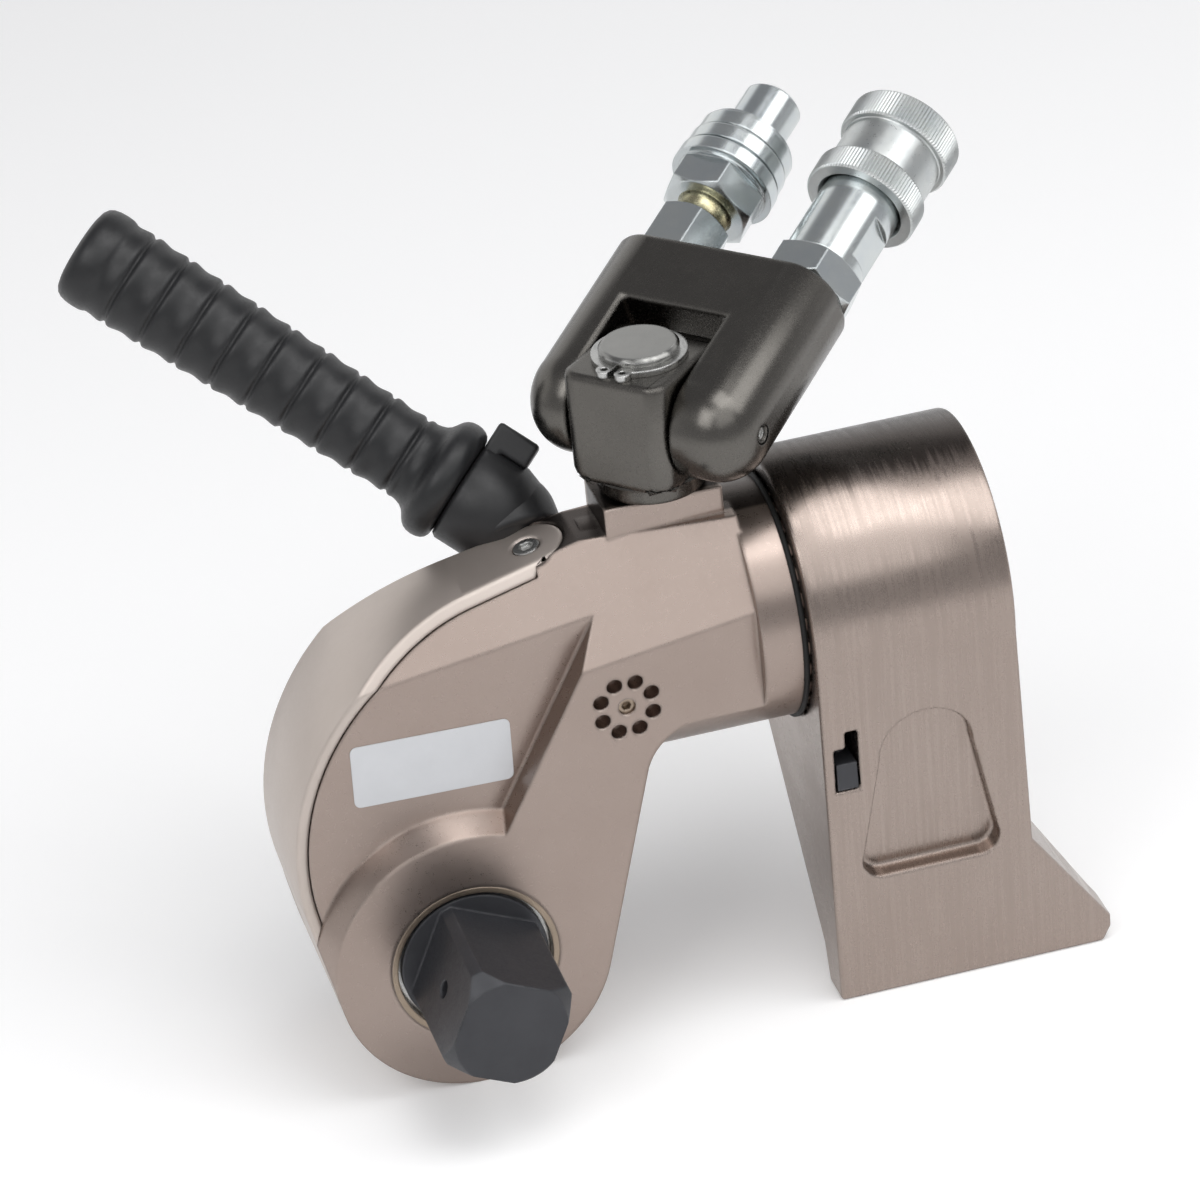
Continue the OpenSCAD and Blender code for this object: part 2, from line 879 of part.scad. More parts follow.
module rear_bush() {
    bush(head_w - wall_y, head_w);
}

module rod_gland() {
    color(steel)
        difference() {
            tube_x(bore_r - seat_clear, rod_r + run_clear, gland_x, gland_x + gland_len);
            bar_x(gland_seal_r, gland_seal_x, gland_seal_x + gland_seal_w);
        }
}

module gland_seal() {
    color(rubber)
        tube_x(gland_seal_r - seat_clear, rod_r + run_clear,
            gland_seal_x + seal_side, gland_seal_x + gland_seal_w - seal_side);
}

module end_cap() {
    color(steel)
        difference() {
            union() {
                bar_x(end_cap_r - seat_clear, cap_x, tail_end);
                bar_x(bore_r - seat_clear, cap_x - cap_spigot, cap_x + 1);
            }
            tube_x(end_cap_r + 1, end_cap_r - cap_seal_t, cap_seal_x, cap_seal_x + cap_seal_w);
            for (side = [-1, 1])
                translate([tail_end - spanner_depth, mid_y + side * end_cap_r / 2, piston_z])
                    rotate([0, 90, 0])
                        cylinder(r = spanner_r, h = 2 * spanner_depth);
        }
}

module end_cap_seal() {
    color(rubber)
        tube_x(end_cap_r - seat_clear, end_cap_r - cap_seal_t + seat_clear,
            cap_seal_x + seal_side, cap_seal_x + cap_seal_w - seal_side);
}

module piston() {
    color(steel)
        difference() {
            bar_x(bore_r - run_clear, piston_x, piston_x + piston_len);
            tube_x(bore_r + 1, bore_r - piston_seal_t, piston_seal_x, piston_seal_x + piston_seal_w);
            bar_x(piston_stud_r, piston_x - 1, piston_x + piston_len - piston_web);
        }
}

module piston_seal() {
    color(rubber)
        tube_x(bore_r - run_clear, bore_r - piston_seal_t + seat_clear,
            piston_seal_x + seal_side, piston_seal_x + piston_seal_w - seal_side);
}

module piston_rod() {
    color(steel) {
        bar_x(rod_r, rod_start, piston_x);
        bar_x(piston_stud_r - seat_clear, piston_x - 1, piston_x + piston_len - piston_web - stud_gap);
        bar_x(eye_stud_r - seat_clear, rod_start - eye_stud_len, rod_start + 1);
    }
}

module rod_eye() {
    slot_half = crank_pin_r + rod_eye_clear;
    crown = piston_z + eye_rise;
    low = pin_z - crank_pin_r - eye_low;
    color(steel)
        difference() {
            union() {
                drawn_y(mid_y - rod_eye_w / 2, mid_y + rod_eye_w / 2)
                    translate([pin_x, 0]) {
                        translate([0, crown])
                            circle(eye_half);
                        translate([-eye_half, low])
                            square([2 * eye_half, crown - low]);
                    }
                intersection() {
                    bar_x(rod_r, pin_x, rod_start);
                    translate([pin_x, mid_y - rod_eye_w / 2, low])
                        cube([far, rod_eye_w, far]);
                }
            }
            drawn_y(-1, head_w + 1)
                translate([pin_x, 0]) {
                    translate([0, crown])
                        circle(slot_half);
                    translate([-slot_half, 0])
                        square([2 * slot_half, crown]);
                }
            bar_x(eye_stud_r, rod_start - eye_stud_len - stud_gap, rod_start + 1);
        }
}

// Upright crank, turned to its rest position
module on_crank() {
    rotate([0, crank_start, 0])
        children();
}

module crank() {
    guide = pawl_w / 2 + pawl_clear;
    color(steel)
        on_crank()
            difference() {
                union() {
                    for (y = [mid_y - cheek_in - cheek_t, mid_y + cheek_in])
                        drawn_y(y, y + cheek_t)
                            link(cheek_r, cheek_tip_r, crank_r);
                    drawn_y(mid_y - cheek_in - 1, mid_y + cheek_in + 1) {
                        translate([-guide - guide_t, pawl_seat])
                            square([2 * (guide + guide_t), bridge_top - pawl_seat]);
                        for (x = [-guide - guide_t, guide])
                            translate([x, pawl_low + guide_lift])
                                square([guide_t, pawl_seat - pawl_low]);
                    }
                }
                bar_y(hub_r + run_clear, -1, head_w + 1);
                translate([0, 0, crank_r])
                    bar_y(crank_pin_r, -1, head_w + 1);
                translate([0, mid_y, pawl_seat - 1])
                    cylinder(r = pawl_spring_r + 0.4, h = pawl_pocket + 1);
            }
}

module crank_pin() {
    color(steel)
        on_crank()
            translate([0, 0, crank_r])
                bar_y(crank_pin_r - seat_clear, mid_y - cheek_in - cheek_t, mid_y + cheek_in + cheek_t);
}

// Saw teeth round a wheel, steep on one side
module saw_teeth(r_tip) {
    step = 360 / ratchet_teeth;
    polygon([for (i = [0:ratchet_teeth - 1], end = [0, 1])
        end == 0 ? polar(r_tip, i * step) : polar(r_tip - ratchet_h, (i + 0.98) * step)]);
}

module drive_pawl() {
    color(steel)
        on_crank()
            drawn_y(ratchet_y0, ratchet_y1)
                difference() {
                    translate([-pawl_w / 2, ratchet_r - 3])
                        square([pawl_w, pawl_low + pawl_h - ratchet_r + 3]);
                    saw_teeth(ratchet_r + ratchet_h + 0.4);
                    circle(pawl_low);
                }
}

module pawl_spring() {
    color(steel)
        on_crank()
            translate([0, mid_y, pawl_low + pawl_h + pawl_lift + 0.3])
                coil(pawl_spring_r - pawl_wire, pawl_wire, pawl_pocket + 2.6, 5);
}

module ratchet() {
    color(steel)
        difference() {
            union() {
                drawn_y(ratchet_y0, ratchet_y1)
                    saw_teeth(ratchet_r);
                bar_y(hub_r, hub_setback, head_w - hub_setback);
            }
            drawn_y(-1, head_w + 1)
                rotate(square_turn)
                    splined(shank_root_r + shank_clear, shank_r + shank_clear,
                        shank_teeth, shank_tooth_w + 2 * shank_clear);
        }
}

module square_drive() {
    chamfer = 4;
    corner_r = square_corner_d / 2;
    color(oxide)
        rotate([0, -square_turn, 0])
            difference() {
                union() {
                    intersection() {
                        translate([-square_af / 2, -square_len, -square_af / 2])
                            cube([square_af, square_len + hub_setback, square_af]);
                        union() {
                            bar_y(corner_r, chamfer - square_len, hub_setback);
                            translate([0, chamfer - square_len, 0])
                                rotate([90, 0, 0])
                                    cylinder(r1 = corner_r, r2 = corner_r - chamfer * 0.75, h = chamfer);
                        }
                    }
                    bar_y(shoulder_r, shoulder_y, hub_setback);
                    drawn_y(hub_setback - 0.5, shank_end)
                        splined(shank_root_r, shank_r, shank_teeth, shank_tooth_w);
                }
                translate([-far / 2, -square_len / 2, 0])
                    rotate([0, 90, 0])
                        cylinder(r = cross_hole_r, h = far);
                bar_y(button_r + 0.3, shank_end - button_pit, shank_end + 1);
            }
}

module drive_retainer() {
    color(oxide)
        difference() {
            union() {
                bar_y(shoulder_r, retainer_y, retainer_y + retainer_t);
                bar_y(shank_root_r - 1, shank_end, retainer_y + 1);
            }
            bar_y(button_r + run_clear, shank_end - 1, retainer_y + retainer_t + 1);
        }
}

module retainer_button() {
    top = retainer_y + retainer_t + button_travel + 0.5;
    color(steel) {
        bar_y(button_r, button_foot, top - 1);
        translate([0, top - 1, 0])
            rotate([-90, 0, 0])
                cylinder(r1 = button_r, r2 = button_r - 1, h = 1);
    }
}

module button_spring() {
    color(steel)
        translate([0, shank_end - button_pit, 0])
            rotate([-90, 0, 0])
                coil(button_r - 1.2, 0.6, button_pit + 0.6 - button_travel, 6);
}

module spindle() {
    color(steel)
        on_swivel()
            difference() {
                union() {
                    translate([0, 0, -spindle_foot])
                        cylinder(r = spindle_foot_r - seat_clear, h = spindle_foot + 1);
                    cylinder(r = spindle_r, h = spindle_top - spindle_bevel);
                    translate([0, 0, spindle_top - spindle_bevel])
                        cylinder(r1 = spindle_r, r2 = spindle_r - spindle_bevel, h = spindle_bevel);
                }
                translate([0, 0, circlip_z - seat_clear])
                    ring_cut(spindle_r - circlip_depth, circlip_t + 2 * seat_clear);
                for (z = spindle_seal_spots)
                    translate([0, 0, z - seal_wire - 0.1])
                        ring_cut(spindle_r - 2 * seal_wire - 0.1, 2 * seal_wire + 0.2);
            }
}

// A groove round the spindle, down to a radius
module ring_cut(r_in, h) {
    difference() {
        cylinder(r = far, h = h);
        translate([0, 0, -1])
            cylinder(r = r_in, h = h + 2);
    }
}

module spindle_circlip() {
    ear = spindle_r + 2.2;
    color(steel)
        on_swivel(circlip_z)
            rotate(knuckle_turn)
                linear_extrude(circlip_t)
                    difference() {
                        union() {
                            circle(spindle_r + circlip_out);
                            for (a = [-102, -78])
                                translate(polar(ear, a))
                                    circle(ear_r);
                        }
                        circle(spindle_r - circlip_depth + seat_clear);
                        for (a = [-102, -78])
                            translate(polar(ear, a))
                                circle(ear_hole_r);
                        polygon([[0, 0], polar(far, -94), polar(far, -86)]);
                    }
}

module spindle_seals() {
    color(rubber)
        on_swivel()
            for (z = spindle_seal_spots)
                translate([0, 0, z])
                    o_ring(spindle_r - seal_wire - 0.05, seal_wire);
}

// The knuckle's own frame, with X along the tilt axis
module on_knuckle(z = 0) {
    on_swivel(z)
        rotate(knuckle_turn)
            children();
}

// A rectangle with round corners
module round_box(w, d, r) {
    square([w - 2 * r, d], center = true);
    square([w, d - 2 * r], center = true);
    for (x = [-1, 1], y = [-1, 1])
        translate([x * (w / 2 - r), y * (d / 2 - r)])
            circle(r);
}

module knuckle() {
    color(bronze_grey)
        on_knuckle()
            difference() {
                union() {
                    translate([0, 0, knuckle_z])
                        cylinder(r = knuckle_base_r, h = knuckle_h);
                    intersection() {
                        translate([0, 0, knuckle_z + knuckle_step])
                            linear_extrude(knuckle_h - knuckle_step)
                                round_box(knuckle_w, knuckle_d, knuckle_corner_r);
                        translate([0, 0, knuckle_z])
                            cylinder(r1 = knuckle_base_r - 2, r2 = knuckle_base_r + knuckle_h, h = knuckle_h);
                    }
                }
                cylinder(r = spindle_r + run_clear, h = far);
                for (side = [0, 180])
                    rotate(side)
                        translate([knuckle_w / 2 - trunnion_stud_len, 0, tilt_h])
                            rotate([0, 90, 0])
                                cylinder(r = trunnion_stud_r, h = 20);
            }
}

// Frame of one trunnion, with Z outwards from the knuckle's side
module on_trunnions(out = 0) {
    on_knuckle(tilt_h)
        for (side = [0, 180])
            rotate(side)
                translate([knuckle_w / 2 + out, 0, 0])
                    rotate([0, 90, 0])
                        children();
}

module trunnions() {
    color(steel)
        on_trunnions()
            difference() {
                union() {
                    translate([0, 0, 0.2 - trunnion_stud_len])
                        cylinder(r = trunnion_stud_r - seat_clear, h = trunnion_stud_len);
                    cylinder(r = trunnion_r, h = trunnion_len);
                }
                for (z = trunnion_seal_spots)
                    translate([0, 0, z - trunnion_wire - 0.1])
                        ring_cut(trunnion_r - 2 * trunnion_wire - 0.1, 2 * trunnion_wire + 0.2);
            }
}

module trunnion_seals() {
    color(rubber)
        for (z = trunnion_seal_spots)
            on_trunnions(z)
                o_ring(trunnion_r - trunnion_wire - 0.05, trunnion_wire);
}

// The manifold's own frame: X along the tilt axis, Z towards the couplers
module on_manifold() {
    on_knuckle(tilt_h)
        rotate([-tilt_stop, 0, 0])
            children();
}

// The block's two lobes are turned round the tilt axis, a trace larger than the block
module manifold() {
    swell = 0.1;
    color(bronze_grey)
        on_manifold()
            difference() {
                translate([manifold_offset, 0, 0]) {
                    linear_extrude(manifold_reach)
                        round_box(manifold_w, manifold_t, manifold_edge_r);
                    rotate([0, 90, 0])
                        rotate_extrude()
                            intersection() {
                                round_box(manifold_t + swell, manifold_w + swell, manifold_edge_r);
                                translate([0, -far / 2])
                                    square(far);
                            }
                }
                translate([-knuckle_w / 2 - lobe_gap, -far / 2, -far / 2])
                    cube([knuckle_w + 2 * lobe_gap, far, far / 2 + manifold_slot]);
                translate([-knuckle_w / 2 - trunnion_len - 0.5, 0, 0])
                    rotate([0, 90, 0])
                        cylinder(r = trunnion_r + run_clear, h = knuckle_w + 2 * trunnion_len + 1);
                for (x = [supply_at, return_at])
                    translate([x, 0, manifold_reach - port_depth])
                        cylinder(r = port_r, h = far);
                for (side = [-1, 1])
                    translate([manifold_offset + side * manifold_w / 2, 0, 0])
                        rotate([0, 90, 0])
                            cylinder(r = plug_r, h = 2 * plug_len, center = true);
            }
}

module manifold_plugs() {
    color(steel)
        on_manifold()
            for (side = [-1, 1])
                translate([manifold_offset + side * (manifold_w / 2 - plug_len / 2 - 0.3), 0, 0])
                    rotate([0, 90, 0])
                        difference() {
                            cylinder(r = plug_r - seat_clear, h = plug_len - 0.8, center = true);
                            rotate([0, 90 - 90 * side, 0])
                                linear_extrude(5)
                                    hexagon(plug_r);
                        }
}

// Frames of the two couplers, from the manifold's end face
module on_supply(z = 0) {
    on_manifold()
        translate([supply_at, 0, manifold_reach + z])
            children();
}

module on_return(z = 0) {
    on_manifold()
        translate([return_at, 0, manifold_reach + z])
            children();
}

// A hexagon bar with its end corners turned off
module hex_bar(af, h) {
    corner_r = af / sqrt(3) + 0.1;
    end_r = 0.48 * af;
    bevel = (corner_r - end_r) * 0.6;
    intersection() {
        linear_extrude(h)
            hexagon(af);
        union() {
            cylinder(r1 = end_r, r2 = corner_r, h = bevel);
            translate([0, 0, bevel])
                cylinder(r = corner_r, h = h - 2 * bevel);
            translate([0, 0, h - bevel])
                cylinder(r1 = corner_r, r2 = end_r, h = bevel);
        }
    }
}

module supply_adaptor() {
    color(zinc)
        on_supply()
            difference() {
                union() {
                    translate([0, 0, -thread_len])
                        cylinder(r = port_r - seat_clear, h = thread_len + 1);
                    hex_bar(supply_adaptor_af, supply_hex_h);
                    translate([0, 0, supply_hex_h - 1])
                        cylinder(r = supply_neck_r, h = supply_neck_h + 1);
                }
                translate([0, 0, -thread_len - 1])
                    cylinder(r = flow_r, h = thread_len + nipple_z + 2);
            }
}

module supply_nipple() {
    color(zinc)
        on_supply(nipple_z)
            difference() {
                union() {
                    hex_bar(supply_hex_af, nipple_hex_h);
                    translate([0, 0, nipple_hex_h - 0.5])
                        cylinder(r = supply_collar_r - 1.6, h = nipple_collar_h + 0.5);
                    translate([0, 0, nipple_hex_h]) {
                        cylinder(r = supply_collar_r, h = 3.6);
                        translate([0, 0, 4.6])
                            cylinder(r = supply_collar_r - 0.5, h = 4);
                        translate([0, 0, 9.4])
                            cylinder(r = supply_collar_r - 1, h = nipple_collar_h - 10.4);
                    }
                    translate([0, 0, nipple_hex_h + nipple_collar_h - 1])
                        cylinder(r = tip_r, h = tip_len);
                    translate([0, 0, nipple_hex_h + nipple_collar_h + tip_len - 1])
                        cylinder(r1 = tip_r, r2 = tip_r - 1, h = 1);
                }
                translate([0, 0, -1])
                    cylinder(r = flow_r, h = 10);
                translate([0, 0, 6])
                    cylinder(r = poppet_r + 0.4, h = tip_end - nipple_z - seat_wall - 6);
                cylinder(r = stem_r + 0.5, h = far);
            }
}

module supply_poppet() {
    color(steel)
        on_supply(tip_end - seat_wall - pass_gap - poppet_h) {
            cylinder(r = poppet_r, h = poppet_h);
            cylinder(r = stem_r, h = poppet_h + pass_gap + seat_wall - 0.5);
        }
}

module return_adaptor() {
    color(zinc)
        on_return()
            difference() {
                union() {
                    translate([0, 0, -thread_len])
                        cylinder(r = port_r - seat_clear, h = thread_len + 1);
                    hex_bar(return_adaptor_af, return_hex_h);
                }
                translate([0, 0, -thread_len - 1])
                    cylinder(r = flow_r, h = thread_len + return_hex_h + 2);
            }
}

module return_body() {
    seat_z = return_body_h - socket_depth - socket_web;
    color(zinc)
        on_return(return_hex_h)
            difference() {
                cylinder(r = return_body_r, h = return_body_h);
                translate([return_body_r - 1.2, -far / 2, 3])
                    cube([far, far, sleeve_z - return_hex_h - sleeve_travel - 5]);
                translate([0, 0, seat_z - poppet_room])
                    cylinder(r = poppet_r + 0.4, h = poppet_room);
                translate([0, 0, -1])
                    cylinder(r = stem_r + 0.5, h = far);
                translate([0, 0, return_body_h - socket_depth])
                    cylinder(r = socket_r, h = far);
                for (i = [0:ball_count - 1])
                    rotate(360 * i / ball_count)
                        translate([0, 0, ball_z - return_hex_h])
                            rotate([0, 90, 0])
                                cylinder(r = ball_r + 0.1, h = far);
            }
}

module return_poppet() {
    seat_z = return_end - socket_depth - socket_web;
    color(steel)
        on_return(seat_z - pass_gap - poppet_h) {
            cylinder(r = poppet_r, h = poppet_h);
            cylinder(r = stem_r, h = poppet_h + pass_gap + socket_web - 0.4);
        }
}

module return_balls() {
    color(steel)
        on_return(ball_z)
            for (i = [0:ball_count - 1])
                rotate(360 * i / ball_count)
                    translate([ball_ring_r, 0, 0])
                        sphere(ball_r, $fn = 32);
}

module return_sleeve() {
    color(zinc)
        on_return(sleeve_z)
            difference() {
                union() {
                    cylinder(r = sleeve_r, h = sleeve_len);
                    cylinder(r = sleeve_ring_r, h = sleeve_band_h);
                    translate([0, 0, sleeve_len - sleeve_band_h - 1])
                        cylinder(r = sleeve_ring_r, h = sleeve_band_h + 1);
                }
                translate([0, 0, -1])
                    cylinder(r = sleeve_in_r, h = far);
                translate([0, 0, sleeve_lip])
                    cylinder(r = sleeve_pocket_r, h = sleeve_pocket_h);
            }
}

module sleeve_spring() {
    color(steel)
        on_return(sleeve_z + sleeve_lip + 0.2)
            coil(return_body_r + 0.8, sleeve_wire, sleeve_pocket_h - 0.4 - sleeve_travel, 4);
}

// Outline of the front pocket, over its lower edge
module pocket_outline() {
    half = pocket_w / 2;
    arch_z = pocket_h - pocket_arch_r;
    translate([0, arch_z])
        circle(pocket_arch_r);
    polygon([
        [-half, pocket_corner_r], [pocket_corner_r - half, 0], [half - pocket_corner_r, 0],
        [half, pocket_corner_r], [pocket_arch_r, arch_z], [-pocket_arch_r, arch_z]]);
    for (x = [-1, 1])
        translate([x * (half - pocket_corner_r), pocket_corner_r])
            circle(pocket_corner_r);
}

// Frame on the leaning front face of the leg, with Y into the face
module on_leg_face() {
    translate([0, foot_y, floor_z])
        rotate([arm_lean, 0, 0])
            children();
}

module reaction_arm() {
    ring_y = mid_y + arm_r;
    back_z = floor_z + leg_back_h;
    arm_end = arm_x + arm_w;
    color(nickel)
        difference() {
            intersection() {
                drawn_x(arm_x, arm_end + foot_flare + 10) {
                    translate([mid_y, piston_z])
                        circle(arm_r);
                    polygon([
                        [mid_y - arm_r, piston_z], [foot_y, floor_z], [foot_y + foot_t, floor_z],
                        [foot_y + foot_t + 2, floor_z + 10], [ring_y, back_z], [ring_y, piston_z]]);
                }
                drawn_y(-far / 2, far / 2) {
                    polygon([
                        [arm_x, piston_z - 4], [arm_x + 1.2, floor_z], [arm_end + foot_flare - 2, floor_z],
                        [arm_end + foot_flare, floor_z + 4], [arm_end + foot_flare, floor_z + 7],
                        [arm_end + 2, floor_z + flare_h], [arm_end, piston_z - 4],
                        [arm_end, far], [arm_x, far]]);
                }
            }
            drawn_x(arm_x - 1, arm_end + 1)
                translate([mid_y, piston_z])
                    splined(cylinder_r - spline_h + spline_clear, cylinder_r + spline_clear,
                        spline_teeth, spline_w + 2 * spline_clear);
            on_leg_face()
                drawn_y(-20, pocket_depth)
                    translate([arm_x + arm_w / 2 + pocket_shift, pocket_low])
                        pocket_outline();
            translate([latch_x - latch_w / 2 - latch_clear, -far, latch_low - latch_clear])
                cube([latch_w + 2 * latch_clear, far + latch_y + latch_pin_r + 0.6,
                    latch_h + latch_travel + 2 * latch_clear]);
            translate([latch_x, -far, latch_low])
                cube([latch_w / 2 + latch_clear, far + latch_y, latch_slot_h]);
            translate([latch_x, latch_y, latch_low])
                cylinder(r = latch_pin_r + 0.3, h = 26);
            translate([latch_x, latch_y, latch_low - latch_spring_h])
                cylinder(r = 2, h = latch_spring_h + 1);
        }
}

module arm_latch() {
    face_y = foot_y + (mid_y - arm_r - foot_y) * (latch_low + latch_h - floor_z) / (piston_z - floor_z);
    color(oxide) {
        translate([latch_x - latch_w / 2, face_y + 0.6, latch_low])
            cube([latch_w, latch_y + latch_pin_r - face_y - 0.6, latch_h]);
        translate([latch_x, latch_y, latch_low])
            cylinder(r = latch_pin_r, h = latch_h + 10.6);
    }
}

module latch_spring() {
    color(steel)
        translate([latch_x, latch_y, latch_low - latch_spring_h])
            coil(latch_spring_r, latch_wire, latch_spring_h - 0.6, 6);
}

module handle_base() {
    color(rubber)
        difference() {
            union() {
                on_base(seat_clear)
                    rotate_extrude() {
                        square([handle_base_r, base_h]);
                        intersection() {
                            translate([0, base_h])
                                circle(handle_base_r);
                            square([handle_base_r, base_h + handle_base_r]);
                        }
                    }
                on_base(0.5 - base_stud_len)
                    cylinder(r = base_stud_r - seat_clear, h = base_stud_len + 2);
                on_grip(2)
                    cylinder(r = grip_root_r, h = collar_at);
            }
            on_grip(collar_at)
                cylinder(r = lock_collar_r + 1, h = far);
            on_grip(core_foot)
                cylinder(r = core_r, h = far);
        }
}

module handle_core() {
    color(steel)
        on_grip(core_foot)
            cylinder(r = core_r - seat_clear, h = core_end - core_foot);
}

module lock_collar() {
    lobe_r = 3.4;
    lug_in = handle_base_r + 0.6;
    color(rubber) {
        on_grip(collar_at)
            linear_extrude(flange_at - collar_at)
                difference() {
                    union() {
                        circle(lock_collar_r - lobe_r / 2);
                        for (i = [0:lock_collar_lobes - 1])
                            rotate(lug_turn + 360 * i / lock_collar_lobes)
                                translate([lock_collar_r - lobe_r, 0])
                                    circle(lobe_r);
                        rotate(lug_turn)
                            translate([core_r + 1, -lug_w / 2])
                                square([lock_lug_r - core_r - 1, lug_w]);
                    }
                    circle(core_r);
                }
        on_grip(lug_foot)
            rotate(lug_turn)
                translate([lug_in, -lug_w / 2, 0])
                    cube([lock_lug_r - lug_in, lug_w, flange_at - lug_foot - 1]);
    }
}

module grip() {
    tip_round = 5;
    rim = flange_t / 2;
    color(rubber)
        on_grip(flange_at)
            rotate_extrude()
                difference() {
                    union() {
                        square([flange_r - rim, flange_t]);
                        translate([flange_r - rim, rim])
                            circle(rim);
                        polygon([
                            [0, 0], [grip_root_r, 0], [grip_tip_r, grip_len - tip_round],
                            [grip_tip_r - tip_round, grip_len], [0, grip_len]]);
                        translate([grip_tip_r - tip_round, grip_len - tip_round])
                            circle(tip_round);
                    }
                    for (i = [0:grip_grooves - 1])
                        let (z = flange_t + 6 + i * groove_pitch)
                        translate([grip_root_r + (grip_tip_r - grip_root_r) * z / grip_len - groove_depth, z])
                            square([5, groove_w]);
                    square([core_r, core_end - flange_at]);
                }
}

housing();
shroud();
shroud_screws();
vent_screw();
front_bush();
rear_bush();
rod_gland();
gland_seal();
end_cap();
end_cap_seal();
piston();
piston_seal();
piston_rod();
rod_eye();
crank();
crank_pin();
drive_pawl();
pawl_spring();
ratchet();
square_drive();
drive_retainer();
retainer_button();
button_spring();
spindle();
spindle_circlip();
spindle_seals();
knuckle();
trunnions();
trunnion_seals();
manifold();
manifold_plugs();
supply_adaptor();
supply_nipple();
supply_poppet();
return_adaptor();
return_body();
return_poppet();
return_balls();
return_sleeve();
sleeve_spring();
reaction_arm();
arm_latch();
latch_spring();
handle_base();
handle_core();
lock_collar();
grip();
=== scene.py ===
"""Looks of a hydraulic torque wrench: finishes, fine pieces, studio light and camera."""

import logging
import math
from dataclasses import dataclass, field
from enum import Enum
from typing import Optional, Sequence

import bmesh
import bpy
from mathutils import Matrix, Vector


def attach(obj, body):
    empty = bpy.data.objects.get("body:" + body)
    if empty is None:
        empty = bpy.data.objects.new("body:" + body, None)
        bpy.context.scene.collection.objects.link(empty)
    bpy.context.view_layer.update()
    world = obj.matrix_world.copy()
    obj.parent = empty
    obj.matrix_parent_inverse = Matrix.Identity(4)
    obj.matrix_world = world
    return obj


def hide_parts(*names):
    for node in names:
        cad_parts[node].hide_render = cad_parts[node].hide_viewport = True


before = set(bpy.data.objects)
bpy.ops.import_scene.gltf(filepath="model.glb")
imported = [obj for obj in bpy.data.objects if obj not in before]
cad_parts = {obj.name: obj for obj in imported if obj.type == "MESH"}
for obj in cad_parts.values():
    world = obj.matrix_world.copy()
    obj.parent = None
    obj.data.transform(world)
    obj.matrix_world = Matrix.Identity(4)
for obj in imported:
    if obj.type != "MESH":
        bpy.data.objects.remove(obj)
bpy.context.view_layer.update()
LOG = logging.getLogger("torque_wrench")
MM = 0.001
MIDDLE_Y = 0.025
MERGE_REACH = 1e-6
Color = tuple[float, float, float]
Point = tuple[float, float, float]
Span = tuple[float, float]
Profile = Sequence[tuple[float, float]]


class Effect(Enum):
    """Shared surface effects, each one a shader node group."""

    GRAIN = "fine_grain"
    MOTTLE = "plating_mottle"
    STREAKS = "tool_streaks"
    EDGES = "worn_edges"


